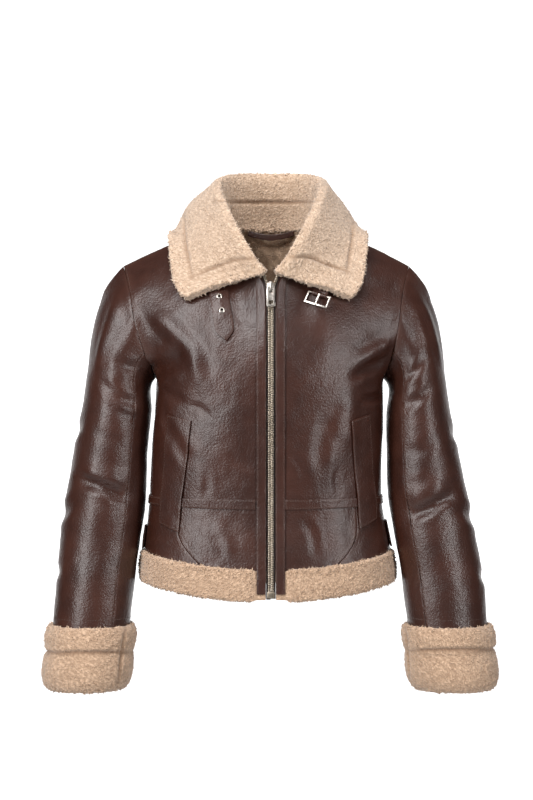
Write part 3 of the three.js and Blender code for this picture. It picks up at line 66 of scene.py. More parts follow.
class NodeBoard:
    """Lays out the shader nodes of one material."""

    def __init__(self, name: str) -> None:
        """Starts a material with a surface shader.

        Args:
            name: the material's name.
        """
        self.material = bpy.data.materials.new(name)
        self.material.use_nodes = True
        self.tree = self.material.node_tree
        self.tree.nodes.clear()
        self.shader = self.add("ShaderNodeBsdfPrincipled")
        output = self.add("ShaderNodeOutputMaterial")
        self.join(self.shader, "BSDF", output, "Surface")
        self.place = self.add("ShaderNodeTexCoord").outputs["Object"]

    def add(self, kind: str, **values: object) -> bpy.types.Node:
        """Adds a node.

        Args:
            kind: the node's type name.
            values: node settings, or input names with their values.

        Returns:
            The new node.
        """
        node = self.tree.nodes.new(kind)
        for name, value in values.items():
            if hasattr(node, name):
                setattr(node, name, value)
            else:
                node.inputs[name.replace("_", " ")].default_value = value
        return node

    def join(self, start: bpy.types.Node, output: str | int, end: bpy.types.Node, socket: str | int) -> None:
        """Links one node's output to another's input."""
        self.tree.links.new(start.outputs[output], end.inputs[socket])

    def finish(self, **values: object) -> None:
        """Sets plain values on the shader's own sockets."""
        for name, value in values.items():
            self.shader.inputs[name.replace("_", " ")].default_value = value

    def noise(self, size: float, detail: float = 2.0, roughness: float = 0.5) -> bpy.types.Node:
        """Adds a noise whose lumps are about size metres across."""
        node = self.add("ShaderNodeTexNoise", Scale=1.0 / size, Detail=detail, Roughness=roughness)
        self.tree.links.new(self.place, node.inputs["Vector"])
        return node

    def cells(self, size: float, feature: str = "F1") -> bpy.types.Node:
        """Adds a cell pattern whose cells are about size metres across."""
        node = self.add("ShaderNodeTexVoronoi", feature=feature, Scale=1.0 / size)
        self.tree.links.new(self.place, node.inputs["Vector"])
        return node

    def ramp(self, source: bpy.types.Node, output: str | int, low: float, high: float) -> bpy.types.Node:
        """Stretches a value so that low becomes 0 and high becomes 1."""
        node = self.add("ShaderNodeMapRange", From_Min=low, From_Max=high)
        self.join(source, output, node, "Value")
        return node

    def blend(self, factor: bpy.types.Node, output: str | int, first: Colour,
              second: Colour) -> bpy.types.Node:
        """Adds a mix of two colours by a factor."""
        node = self.add("ShaderNodeMix", data_type="RGBA")
        self.join(factor, output, node, 0)
        node.inputs[6].default_value = (*first, 1.0)
        node.inputs[7].default_value = (*second, 1.0)
        return node

    def shade(self, colour: bpy.types.Node, factor: bpy.types.Node, output: str | int) -> bpy.types.Node:
        """Multiplies a mix node's colour by a grey value."""
        node = self.add("ShaderNodeMix", data_type="RGBA", blend_type="MULTIPLY")
        node.inputs[0].default_value = 1.0
        self.join(colour, 2, node, 6)
        self.join(factor, output, node, 7)
        return node

    def between(self, source: bpy.types.Node, output: str | int, low: float, high: float) -> bpy.types.Node:
        """Turns a value from 0 to 1 into one from low to high."""
        node = self.add("ShaderNodeMapRange", To_Min=low, To_Max=high)
        self.join(source, output, node, "Value")
        return node

    def height(self, layers: Sequence[tuple[bpy.types.Node, str | int, float]]) -> None:
        """Stacks bumps on the shader.

        Args:
            layers: each bump's node, its output and its height in metres.
        """
        before = None
        for node, output, depth in layers:
            bump = self.add("ShaderNodeBump", Strength=1.0, Distance=depth)
            self.join(node, output, bump, "Height")
            if before is not None:
                self.join(before, "Normal", bump, "Normal")
            before = bump
        self.join(before, "Normal", self.shader, "Normal")


class Finish(ABC):
    """A finish that makes its own material."""

    @abstractmethod
    def material(self) -> bpy.types.Material:
        """Makes the material."""


@dataclass(frozen=True)
class Leather(Finish):
    """Semi-gloss grained leather, uneven in colour and gloss, paler along its edges, partly as rubbed wear
    and partly as a painted highlight.
    """

    name: str = "leather"
    dark: Colour = (0.030, 0.0084, 0.0046)
    light: Colour = (0.048, 0.0146, 0.0084)
    # Paler edge colour: partly rubbed wear, partly a painted highlight along the edges.
    rubbed_highlight: Colour = (0.105, 0.048, 0.034)
    gloss: Place = (0.31, 0.43)
    grain: float = 0.0028
    grain_depth: float = 0.00030
    ripple: float = 0.0045
    ripple_depth: float = 0.00038

    def material(self) -> bpy.types.Material:
        """Makes the leather."""
        board = NodeBoard(self.name)
        patches = board.noise(0.055, 3.0, 0.6)
        base = board.blend(board.ramp(patches, 0, 0.35, 0.68), 0, self.dark, self.light)
        # Paler along the edges: partly rubbed wear, partly a painted highlight.
        wear_and_highlight = board.add("ShaderNodeAttribute", attribute_name="wear_and_highlight")
        rub_highlight = board.add("ShaderNodeMix", data_type="RGBA")
        board.join(wear_and_highlight, "Fac", rub_highlight, 0)
        board.join(base, 2, rub_highlight, 6)
        rub_highlight.inputs[7].default_value = (*self.rubbed_highlight, 1.0)
        board.join(rub_highlight, 2, board.shader, "Base Color")
        spots = board.noise(0.018, 4.0, 0.6)
        board.join(board.between(spots, 0, *self.gloss), 0, board.shader, "Roughness")
        pebbles = board.cells(self.grain)
        pores = board.noise(0.0007, 2.0)
        ripples = board.noise(self.ripple, 4.0, 0.55)
        board.height([
            (ripples, 0, self.ripple_depth),
            (pebbles, "Distance", -self.grain_depth),
            (pores, 0, 0.00008),
        ])
        board.finish(IOR=1.5, Specular_IOR_Level=0.5, Coat_Weight=0.1, Coat_Roughness=0.36)
        return board.material


@dataclass(frozen=True)
class Pile(Finish):
    """Curly sherpa pile, with painted shade down between its curls."""

    name: str
    crevice_shade: Colour
    tip: Colour
    curl: float = 0.0042

    def material(self) -> bpy.types.Material:
        """Makes the pile."""
        board = NodeBoard(self.name)
        # Painted shade: darker down between the curls and in the sewn grooves, lighter on top of them.
        loft_and_shade = board.add("ShaderNodeAttribute", attribute_name="loft_and_shade")
        base = board.blend(board.ramp(loft_and_shade, "Fac", 0.0, 0.75), 0, self.crevice_shade, self.tip)
        tint = board.between(board.noise(0.03, 3.0), 0, 0.92, 1.05)
        specks = board.between(board.noise(self.curl * 0.4, 3.0), 0, 0.78, 1.16)
        toned = board.shade(base, tint, 0)
        board.join(board.shade(toned, specks, 0), 2, board.shader, "Base Color")
        board.join(board.between(board.noise(0.01), 0, 0.85, 1.0), 0, board.shader, "Roughness")
        curls = board.cells(self.curl * 0.6)
        strands = board.noise(0.0009, 4.0, 0.7)
        board.height([(curls, "Distance", -0.0009), (strands, 0, 0.0005)])
        board.finish(Sheen_Weight=0.35, Sheen_Roughness=0.6, Specular_IOR_Level=0.15)
        return board.material


@dataclass(frozen=True)
class Metal(Finish):
    """Plated metal, lightly brushed, duller where it has been handled."""

    name: str
    bright: Colour
    dull: Colour
    gloss: Place = (0.2, 0.38)

    def material(self) -> bpy.types.Material:
        """Makes the metal."""
        board = NodeBoard(self.name)
        stains = board.noise(0.004, 5.0, 0.65)
        tone = board.blend(board.ramp(stains, 0, 0.35, 0.7), 0, self.bright, self.dull)
        board.join(tone, 2, board.shader, "Base Color")
        scratches = board.noise(0.0012, 6.0, 0.7)
        board.join(board.between(scratches, 0, *self.gloss), 0, board.shader, "Roughness")
        board.height([(scratches, 0, 0.00004)])
        board.finish(Metallic=1.0)
        return board.material


@dataclass(frozen=True)
class Weave(Finish):
    """Woven tape or sewing thread, with fine ribs across."""

    name: str
    dark: Colour
    light: Colour
    rib: float = 0.0009

    def material(self) -> bpy.types.Material:
        """Makes the woven cloth."""
        board = NodeBoard(self.name)
        ribs = board.add("ShaderNodeTexWave", bands_direction="Z", Scale=0.31 / self.rib, Distortion=1.5)
        board.tree.links.new(board.place, ribs.inputs["Vector"])
        tone = board.blend(ribs, 1, self.dark, self.light)
        board.join(board.shade(tone, board.between(board.noise(0.006), 0, 0.75, 1.1), 0), 2,
                   board.shader, "Base Color")
        board.join(board.between(board.noise(0.003), 0, 0.7, 0.9), 0, board.shader, "Roughness")
        board.height([(ribs, 1, 0.0002)])
        board.finish(Sheen_Weight=0.15)
        return board.material


# Meshes and where things lie on them


class View(Enum):
    """Where a line on the jacket is looked at from."""

    FRONT = "front"
    BACK = "back"
    RIGHT = "right"
    LEFT = "left"


@dataclass(frozen=True)
class Sight:
    """One straight look at the jacket."""

    start: Vector
    way: Vector


EYE = Vector((0.0, -3.0, -0.25))
PICTURE_Y = -0.06


def sight(view: View, place: Place) -> Sight:
    """Finds the look that meets a place in a view.

    Args:
        view: the side looked from.
        place: across and up, in millimetres, on the plane y = -60 from the front and true from elsewhere.

    Returns:
        The look.
    """
    across, up = place[0] * MM, place[1] * MM
    if view is View.FRONT:
        return Sight(EYE, (Vector((across, PICTURE_Y, up)) - EYE).normalized())
    if view is View.BACK:
        return Sight(Vector((across, 1.0, up)), Vector((0, -1, 0)))
    side = -1.0 if view is View.RIGHT else 1.0
    return Sight(Vector((side, across, up)), Vector((-side, 0, 0)))


def grow(name: str, mesh: bpy.types.Mesh) -> bpy.types.Object:
    """Puts a mesh in the scene as a piece."""
    piece = bpy.data.objects.new(name, mesh)
    bpy.context.scene.collection.objects.link(piece)
    return piece


def grow_skin(name: str, skin: bmesh.types.BMesh,
              materials: Sequence[bpy.types.Material]) -> bpy.types.Object:
    """Puts a skin in the scene as a smooth piece with its materials in order."""
    mesh = bpy.data.meshes.new(name)
    skin.to_mesh(mesh)
    piece = grow(name, mesh)
    for material in materials:
        mesh.materials.append(material)
    mesh.shade_smooth()
    return piece


def node_copy(node: str) -> bmesh.types.BMesh:
    """Copies a CAD node's mesh, with its loose triangles merged into one skin of quads."""
    skin = bmesh.new()
    skin.from_mesh(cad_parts[node].data)
    bmesh.ops.remove_doubles(skin, verts=skin.verts, dist=MERGE_DISTANCE)
    bmesh.ops.join_triangles(
        skin, faces=skin.faces, angle_face_threshold=math.radians(35), angle_shape_threshold=math.radians(60)
    )
    return skin


def sharp_edges(skin: bmesh.types.BMesh, angle: float = SHARP_ANGLE) -> list[bmesh.types.BMEdge]:
    """Lists the edges where a skin turns by more than an angle."""
    return [e for e in skin.edges if len(e.link_faces) == 2 and e.calc_face_angle(0.0) > angle]


def sharp_middles(skin: bmesh.types.BMesh) -> np.ndarray:
    """Gives the middles of a skin's sharp edges."""
    return np.array([[*(e.verts[0].co + e.verts[1].co) / 2] for e in sharp_edges(skin)])


def smooth_regions(skin: bmesh.types.BMesh) -> list[list[bmesh.types.BMFace]]:
    """Splits a skin's faces at its sharp edges."""
    walls = set(sharp_edges(skin))
    left = set(skin.faces)
    regions = []
    while left:
        region, waiting = [], [left.pop()]
        while waiting:
            face = waiting.pop()
            region.append(face)
            for edge in face.edges:
                if edge not in walls:
                    near = [f for f in edge.link_faces if f in left]
                    left.difference_update(near)
                    waiting.extend(near)
        regions.append(region)
    return regions


def spine_place(spine: tuple[Vector, Vector], height: float) -> Vector:
    """Finds the middle of the body or of a sleeve at a height."""
    top, end = spine
    share = (height - top.z) / (end.z - top.z)
    return Vector((*top.lerp(end, min(max(share, 0.0), 1.0)).xy, height))


def mark_lining(skin: bmesh.types.BMesh, spine: tuple[Vector, Vector]) -> None:
    """Gives the faces that look inward the second material, one smooth region at a time."""
    whole = sum(face.calc_area() for face in skin.faces)
    for region in smooth_regions(skin):
        outward = size = 0.0
        for face in region:
            middle = face.calc_center_median()
            size += face.calc_area()
            outward += face.calc_area() * face.normal.dot(middle - spine_place(spine, middle.z))
        inner = outward < 0 and size > LINING_SHARE * whole
        for face in region:
            face.material_index = 1 if inner else 0


def refined(skin: bmesh.types.BMesh, levels: int, crispness: float = 1.0) -> bmesh.types.BMesh:
    """Rounds a coarse skin out to a fine one, with its sharp edges kept.

    Args:
        skin: the coarse skin, used up.
        levels: how many times each quad is cut in four.
        crispness: how far the sharp edges stay sharp, from 0 to 1.

    Returns:
        The fine skin.
    """
    crease = skin.edges.layers.float.new("crease_edge")
    for edge in sharp_edges(skin):
        edge[crease] = crispness
    mesh = bpy.data.meshes.new("rough")
    skin.to_mesh(mesh)
    skin.free()
    rough = grow("rough", mesh)
    rounding = rough.modifiers.new("round", "SUBSURF")
    rounding.levels = rounding.render_levels = levels
    rounding.boundary_smooth = "PRESERVE_CORNERS"
    fine = bmesh.new()
    fine.from_object(rough, bpy.context.evaluated_depsgraph_get())
    bpy.data.objects.remove(rough)
    bpy.data.meshes.remove(mesh)
    return fine


def round_edges(skin: bmesh.types.BMesh, radius: float, angle: float = SHARP_ANGLE, steps: int = 2) -> None:
    """Rolls over the sharp edges of a skin."""
    bmesh.ops.bevel(
        skin, geom=sharp_edges(skin, angle), offset=radius, offset_type="OFFSET", segments=steps, profile=0.5,
        affect="EDGES", material=-1, clamp_overlap=True,
    )


def cut_even(skin: bmesh.types.BMesh, longest: float) -> None:
    """Cuts the long edges of a skin until none is much longer than a length."""
    for _ in range(3):
        long = [edge for edge in skin.edges if edge.calc_length() > longest]
        bmesh.ops.subdivide_edges(skin, edges=long, cuts=1, use_grid_fill=True)
    bmesh.ops.triangulate(skin, faces=[face for face in skin.faces if len(face.verts) > 4])


def points_of(skin: bmesh.types.BMesh) -> np.ndarray:
    """Gives a skin's corners as rows of numbers."""
    return np.array([v.co for v in skin.verts])


def normals_of(skin: bmesh.types.BMesh) -> np.ndarray:
    """Gives a skin's outward directions, corner by corner."""
    skin.normal_update()
    return np.array([v.normal for v in skin.verts])


def move_to(skin: bmesh.types.BMesh, places: np.ndarray) -> None:
    """Moves a skin's corners to new places."""
    for vertex, place in zip(skin.verts, places):
        vertex.co = place


def paint(skin: bmesh.types.BMesh, name: str, values: np.ndarray) -> None:
    """Keeps one value per corner as a named attribute."""
    layer = skin.verts.layers.float.new(name)
    for vertex, value in zip(skin.verts, values):
        vertex[layer] = value


def tree_of(skins: Iterable[bmesh.types.BMesh]) -> BVHTree:
    """Makes one searchable surface of several skins."""
    corners: list[Vector] = []
    faces: list[list[int]] = []
    for skin in skins:
        first = len(corners)
        skin.verts.index_update()
        corners.extend(v.co.copy() for v in skin.verts)
        faces.extend([first + v.index for v in f.verts] for f in skin.faces)
    return BVHTree.FromPolygons(corners, faces)


@dataclass(frozen=True)
class Line:
    """A line laid on a surface: its points and the surface's direction at each."""

    points: np.ndarray
    normals: np.ndarray

    def spaced(self, step: float) -> "Line":
        """Gives the same line with its points a fixed step apart."""
        gaps = np.linalg.norm(np.diff(self.points, axis=0), axis=1)
        run = np.concatenate([[0.0], np.cumsum(gaps)])
        marks = np.linspace(0.0, run[-1], max(2, round(run[-1] / step) + 1))
        points = np.stack([np.interp(marks, run, self.points[:, i]) for i in range(3)], axis=1)
        normals = np.stack([np.interp(marks, run, self.normals[:, i]) for i in range(3)], axis=1)
        return Line(points, normals / np.linalg.norm(normals, axis=1, keepdims=True))


def rounded_path(path: Sequence[Place], step: float) -> list[Place]:
    """Runs a smooth curve through the places of a path, in steps of about step millimetres."""
    spots = np.array(path, float)
    if len(spots) > 2:
        ends = np.vstack([2 * spots[0] - spots[1], spots, 2 * spots[-1] - spots[-2]])
        curve = []
        for a, b, c, d in zip(ends, ends[1:], ends[2:], ends[3:]):
            count = max(1, round(float(np.linalg.norm(c - b)) / step))
            for t in np.arange(count) / count:
                curve.append(0.5 * (2 * b + (c - a) * t + (2 * a - 5 * b + 4 * c - d) * t**2
                                    + (3 * b - a - 3 * c + d) * t**3))
        spots = np.array([*curve, spots[-1]])
    else:
        count = max(1, round(float(np.linalg.norm(spots[1] - spots[0])) / step))
        spots = spots[0] + np.linspace(0, 1, count + 1)[:, None] * (spots[1] - spots[0])
    return [tuple(spot) for spot in spots]


def lay(surface: BVHTree, view: View, path: Sequence[Place], step: float = 3.0) -> Line | None:
    """Lays a drawn line on a surface.

    Args:
        surface: what it lies on.
        view: the side that it is drawn from.
        path: its places, in millimetres.
        step: how close its points are, in millimetres.

    Returns:
        The line, or None where the surface is missed.
    """
    points, normals = [], []
    for place in rounded_path(path, step):
        look = sight(view, place)
        spot, normal, _, _ = surface.ray_cast(look.start, look.way)
        if spot is not None:
            points.append(spot)
            normals.append(normal if normal.dot(look.way) < 0 else -normal)
    if len(points) < 2:
        return None
    return Line(np.array(points), np.array(normals))


# Creases


@dataclass(frozen=True)
class Crease:
    """A soft trough or ridge in cloth: width and height in millimetres, troughs with a height below 0."""

    view: View
    width: float
    height: float
    path: tuple[Place, ...]
    shoulder: float = 0.35


class CreaseField:
    """Every crease of the jacket, laid on its cloth, with the cloth's gentle unevenness."""

    def __init__(self, surface: BVHTree, creases: Iterable[Crease]) -> None:
        """Lays the creases.

        Args:
            surface: the outside of the cloth.
            creases: the creases to lay.
        """
        self.surface = surface
        laid = ((crease, lay(surface, crease.view, crease.path)) for crease in creases)
        self.laid = [(crease, line) for crease, line in laid if line is not None]

    def moved(self, points: np.ndarray, waves: float = 1.0) -> np.ndarray:
        """Moves points with the cloth that they lie on.

        Args:
            points: the points.
            waves: how much of the gentle unevenness they take.

        Returns:
            The moved points.
        """
        shift = np.zeros_like(points)
        for crease, line in self.laid:
            width = crease.width * MM
            reach = CREASE_REACH * width
            low, high = line.points.min(0) - reach, line.points.max(0) + reach
            near = np.where(((points > low) & (points < high)).all(1))[0]
            if not len(near):
                continue
            gaps = np.linalg.norm(points[near, None] - line.points[None], axis=2)
            closest = gaps.argmin(1)
            spread = gaps.min(1) / width
            along = closest / (len(line.points) - 1)
            fade = np.clip(np.minimum(along, 1 - along) / 0.3, 0.0, 1.0)
            fade = fade * fade * (3 - 2 * fade)
            form = np.exp(-spread**2) - crease.shoulder * np.exp(-((spread - 1.7) / 0.7) ** 2)
            shift[near] += (crease.height * MM * form * fade)[:, None] * line.normals[closest]
        for i, point in enumerate(points):
            _, normal, _, gap = self.surface.find_nearest(Vector(point))
            if normal is None or gap > CLOTH_REACH:
                continue
            wave = 0.0010 * noise.noise(Vector(point) * 24.0) + 0.0005 * noise.noise(Vector(point) * 70.0)
            shift[i] += waves * wave * np.array(normal)
        return points + shift


# Cloth pieces


@dataclass(frozen=True)
class Cut:
    """One cloth piece: the CAD node that it stands for and the size that it was cut to, in metres."""

    node: str
    width: float
    length: float
    area: float
    rests_on: str
    carried: tuple[str, ...] = ()


@dataclass
class Panels:
    """The leather panels of the body and sleeves, lined with sherpa."""

    cuts: tuple[Cut, ...]
    leather: bpy.types.Material
    lining: bpy.types.Material
    levels: int = 2
    seam_radius: float = 0.0016
    pucker: float = 0.0007
    pucker_reach: float = 0.014
    wear_and_highlight_reach: float = 0.004
    lining_curl: float = 0.006
    lining_depth: float = 0.0016
    neck_lock_count: int = 3200
    skins: dict[str, bmesh.types.BMesh] = field(default_factory=dict)
    folded: dict[str, bmesh.types.BMesh] = field(default_factory=dict)

    def spine(self, node: str) -> tuple[Vector, Vector]:
        """Gives the middle line of the tube that a panel wraps."""
        if "sleeve" not in node:
            return BODY_SPINE
        side = 1.0 if node.endswith("left") else -1.0
        flip = Vector((side, 1, 1))
        return SLEEVE_SPINE_TOP * flip, SLEEVE_SPINE_END * flip

    def prepare(self) -> BVHTree:
        """Copies and rounds every panel.

        Returns:
            The outside of them all, as a searchable surface.
        """
        for cut in self.cuts:
            coarse = node_copy(cut.node)
            mark_lining(coarse, self.spine(cut.node))
            self.skins[cut.node] = refined(coarse, self.levels)
        shells = []
        for skin in self.skins.values():
            shell = skin.copy()
            inner = [face for face in shell.faces if face.material_index == 1]
            bmesh.ops.delete(shell, geom=inner, context="FACES")
            shells.append(shell)
        outside = tree_of(shells)
        for shell in shells:
            shell.free()
        return outside

    def dress(self, field_of_creases: CreaseField) -> None:
        """Folds, puckers and finishes every panel.

        Args:
            field_of_creases: the creases that the panels take.
        """
        for cut in self.cuts:
            skin = self.skins[cut.node]
            self.fold(skin, field_of_creases)
            self.folded[cut.node] = skin.copy()
            locks = [self.neck_locks(skin)] if cut.node == "back" else []
            self.roll(skin)
            piece = grow_skin(cut.node + "_cloth", skin, [self.leather, self.lining])
            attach(piece, JACKET)
            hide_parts(cut.node)
            LOG.info("%s: %d faces", piece.name, len(piece.data.polygons))

    def neck_locks(self, skin: bmesh.types.BMesh) -> bpy.types.Object:
        """Strews locks over the lining that shows inside the neck."""
        shares = []
        for face in skin.faces:
            middle = face.calc_center_median()
            seen = face.material_index == 1 and abs(middle.x) < NECK_HALF_WIDTH and middle.z > NECK_FOOT
            shares.append(face.calc_area() if seen else 0.0)
        locks = strewn_locks("back_lining_locks", skin, np.array(shares), self.neck_lock_count, NECK_SEED,
                             self.lining)
        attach(locks, JACKET)
        return locks

    def fold(self, skin: bmesh.types.BMesh, field_of_creases: CreaseField) -> None:
        """Gives one panel its creases, its puckered seam edges and its lining's curls, with painted shade
        between the curls.
        """
        rim = sharp_middles(skin)
        places, normals = points_of(skin), normals_of(skin)
        lining = np.array([all(f.material_index == 1 for f in v.link_faces) for v in skin.verts])
        gap = distance_to(places, rim)
        wobble = np.array([noise.noise(Vector(place) * 95.0) for place in places])
        sink = self.pucker * np.clip(wobble, 0, 1) * np.exp(-gap / self.pucker_reach)
        loft_and_shade = np.array([curl_height(place, self.lining_curl) for place in places])
        sink = np.where(lining, -self.lining_depth * (loft_and_shade - 0.5), sink)
        moved = field_of_creases.moved(places)
        move_to(skin, moved - sink[:, None] * normals)
        # Painted shade between the lining's curls, set by the pile's height.
        paint(skin, "loft_and_shade", np.where(lining, loft_and_shade, 0.5))

    def roll(self, skin: bmesh.types.BMesh) -> None:
        """Rolls one panel's seam edges over and paints them paler, partly as rubbed wear and partly as a
        painted highlight.
        """
        rim = sharp_middles(skin)
        round_edges(skin, self.seam_radius)
        places = points_of(skin)
        # Painted highlight along the seam edges, mixed with rubbed wear.
        rub_highlight = np.exp(-distance_to(places, rim) / self.wear_and_highlight_reach)
        rough = np.array([0.5 + noise.noise(Vector(place) * 45.0) for place in places])
        paint(skin, "wear_and_highlight", 0.55 * np.clip(rub_highlight * rough, 0, 1))


def distance_to(places: np.ndarray, marks: np.ndarray) -> np.ndarray:
    """Measures how far each place is from the nearest mark."""
    tree = KDTree(len(marks))
    for i, mark in enumerate(marks):
        tree.insert(Vector(mark), i)
    tree.balance()
    return np.array([tree.find(Vector(place))[2] for place in places])


def curl_height(place: Sequence[float], curl: float) -> float:
    """Gives how high the pile stands at a place, from 0 between its curls to 1 on top of one."""
    spot = Vector(place) / curl
    warp = noise.noise_vector(spot * 0.9) * 0.45
    near = noise.voronoi(spot + warp)[0]
    ridge = min(1.0, (near[1] - near[0]) * 1.5)
    fine = 0.5 + 0.5 * noise.noise(spot * 2.6)
    return max(0.0, min(1.0, 0.72 * ridge + 0.34 * fine))


# Small things repeated along a line or over a surface


def joined(name: str, template: bmesh.types.BMesh, frames: np.ndarray, material: bpy.types.Material,
           values: dict[str, np.ndarray] | None = None) -> bpy.types.Object:
    """Joins copies of one small shape into one piece.

    Args:
        name: the piece's name.
        template: the small shape, used up.
        frames: one 4 x 4 matrix per copy.
        material: the finish.
        values: attributes with one value per template corner, repeated on each copy.

    Returns:
        The piece.
    """
    template.verts.index_update()
    corners = np.c_[points_of(template), np.ones(len(template.verts))]
    rings = [[v.index for v in f.verts] for f in template.faces]
    template.free()
    places = np.einsum("nij,kj->nki", frames, corners)[:, :, :3].reshape(-1, 3)
    sizes = np.tile([len(ring) for ring in rings], len(frames))
    flat = np.concatenate([np.array(ring) for ring in rings])
    loops = (flat[None] + (np.arange(len(frames)) * len(corners))[:, None]).ravel()
    mesh = bpy.data.meshes.new(name)
    mesh.vertices.add(len(places))
    mesh.vertices.foreach_set("co", places.astype(np.float32).ravel())
    mesh.loops.add(len(loops))
    mesh.loops.foreach_set("vertex_index", loops.astype(np.int32))
    mesh.polygons.add(len(sizes))
    starts = np.concatenate([[0], np.cumsum(sizes)[:-1]])
    mesh.polygons.foreach_set("loop_start", starts.astype(np.int32))
    for label, numbers in (values or {}).items():
        layer = mesh.attributes.new(label, "FLOAT", "POINT")
        layer.data.foreach_set("value", numbers.astype(np.float32).ravel())
    mesh.update(calc_edges=True)
    mesh.validate()
    mesh.shade_smooth()
    mesh.materials.append(material)
    return grow(name, mesh)


def frames_from(points: np.ndarray, along: np.ndarray, normals: np.ndarray,
                scales: np.ndarray | None = None) -> np.ndarray:
    """Makes a frame at each point: X along, Z outward, Y across.

    Args:
        points: the places.
        along: the lengthwise directions.
        normals: the outward directions.
        scales: one size per frame, or three.

    Returns:
        A 4 x 4 matrix per point.
    """
    across = np.cross(normals, along)
    across /= np.linalg.norm(across, axis=1, keepdims=True)
    out = np.cross(along, across)
    axes = np.stack([along, across, out], axis=2)
    if scales is not None:
        axes = axes * scales.reshape(len(points), 1, -1)
    frames = np.tile(np.eye(4), (len(points), 1, 1))
    frames[:, :3, :3] = axes
    frames[:, :3, 3] = points
    return frames


def directions(points: np.ndarray) -> np.ndarray:
    """Gives the direction of a line at each of its points."""
    along = np.gradient(points, axis=0)
    return along / np.linalg.norm(along, axis=1, keepdims=True)


@dataclass(frozen=True)
class Tuft:
    """One small curled lock of pile, three-sided and bent over."""

    length: float = 0.0034
    thickness: float = 0.00105
    bend: float = 0.0014

    def shape(self) -> bmesh.types.BMesh:
        """Makes the lock, standing on its root along Z."""
        lock = bmesh.new()
        bmesh.ops.create_cone(
            lock, cap_ends=False, segments=3, radius1=self.thickness, radius2=self.thickness * 0.5,
            depth=self.length,
        )
        bmesh.ops.translate(lock, verts=lock.verts, vec=(0, 0, self.length / 2))
        rails = [e for e in lock.edges if abs(e.verts[0].co.z - e.verts[1].co.z) > self.length / 2]
        bmesh.ops.subdivide_edges(lock, edges=rails, cuts=1)
        rim = [v for v in lock.verts if v.co.z > self.length * 0.99]
        bmesh.ops.pointmerge(lock, verts=rim, merge_co=(0, 0, self.length * 1.1))
        for vertex in lock.verts:
            share = vertex.co.z / self.length
            vertex.co.x += self.bend * share**2 * 1.6
            vertex.co.z -= self.bend * share**3 * 0.5
        return lock


@dataclass
class Sherpa:
    """The sherpa pieces: curly skins with loose locks standing out of them."""

    cuts: tuple[Cut, ...]
    finishes: dict[str, bpy.types.Material]
    slots: dict[str, str]
    locks_at_most: dict[str, int]
    curl: float = 0.0036
    depth: float = 0.0019
    swell: float = 0.0008
    rim_swell: float = 0.0022
    rim_reach: float = 0.008
    rim_radius: float = 0.0032
    cell: float = 0.0027
    seam_width: float = 0.0030
    locks_per_area: float = 170000.0
    skins: dict[str, bmesh.types.BMesh] = field(default_factory=dict)
    rims: dict[str, np.ndarray] = field(default_factory=dict)

    def prepare(self) -> None:
        """Copies and rounds every sherpa piece."""
        for cut in self.cuts:
            skin = refined(node_copy(cut.node), 2, 0.9)
            self.rims[cut.node] = sharp_middles(skin)
            round_edges(skin, self.rim_radius, steps=3)
            cut_even(skin, self.cell)
            self.skins[cut.node] = skin

    def dress(self, seams: CreaseField) -> None:
        """Curls, grooves and finishes every sherpa piece.

        Args:
            seams: the sewn lines that sink into the pile.
        """
        sewn = np.concatenate([line.points for _, line in seams.laid])
        for order, cut in enumerate(self.cuts):
            skin = self.skins[cut.node]
            normals = normals_of(skin)
            places = points_of(skin)
            rim = np.exp(-distance_to(places, self.rims[cut.node]) / self.rim_reach)
            open_pile = 1.0 - np.exp(-((distance_to(places, sewn) / self.seam_width) ** 2))
            # The pile's height, which also paints shade: darker between the curls and along the sewn grooves.
            loft_and_shade = np.array([curl_height(place, self.curl) for place in places]) * (0.15 + 0.85 * open_pile)
            rise = self.swell + self.rim_swell * rim + self.depth * (loft_and_shade - 0.5)
            if cut.node in FRONT_BANDS:
                rise *= np.clip((np.abs(places[:, 0]) - STRIP_REACH) / STRIP_FADE, 0, 1)
            move_to(skin, seams.moved(places, 0.0) + rise[:, None] * normals)
            # Paints shade between the curls and in the sewn grooves.
            paint(skin, "loft_and_shade", loft_and_shade)
            paint(skin, "open", open_pile)
            paint(skin, "rim", rim)
            piece = grow_skin(cut.node + "_pile", skin, [self.finishes[cut.node]])
            locks = self.locks(cut.node, skin, order)
            for item in (piece, locks):
                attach(item, JACKET)
            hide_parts(cut.node)
            LOG.info("%s: %d faces, %d in locks", piece.name, len(piece.data.polygons),
                     len(locks.data.polygons))

    def locks(self, node: str, skin: bmesh.types.BMesh, seed: int) -> bpy.types.Object:
        """Scatters the loose locks over one piece.

        Args:
            node: the CAD node that the piece stands for.
            skin: the curled skin.
            seed: fixes the scatter.

        Returns:
            The joined locks.
        """
        faces = list(skin.faces)
        areas = np.array([face.calc_area() for face in faces])
        clear = skin.verts.layers.float["open"]
        shares = areas * np.array([min(v[clear] for v in face.verts) ** 2 for face in faces])
        if node in FRONT_BANDS:
            shares *= np.array([abs(face.calc_center_median().x) > LOCK_REACH for face in faces])
        count = min(int(areas.sum() * self.locks_per_area), self.locks_at_most[node])
        return strewn_locks(node + "_locks", skin, shares, count, seed, self.finishes[node])


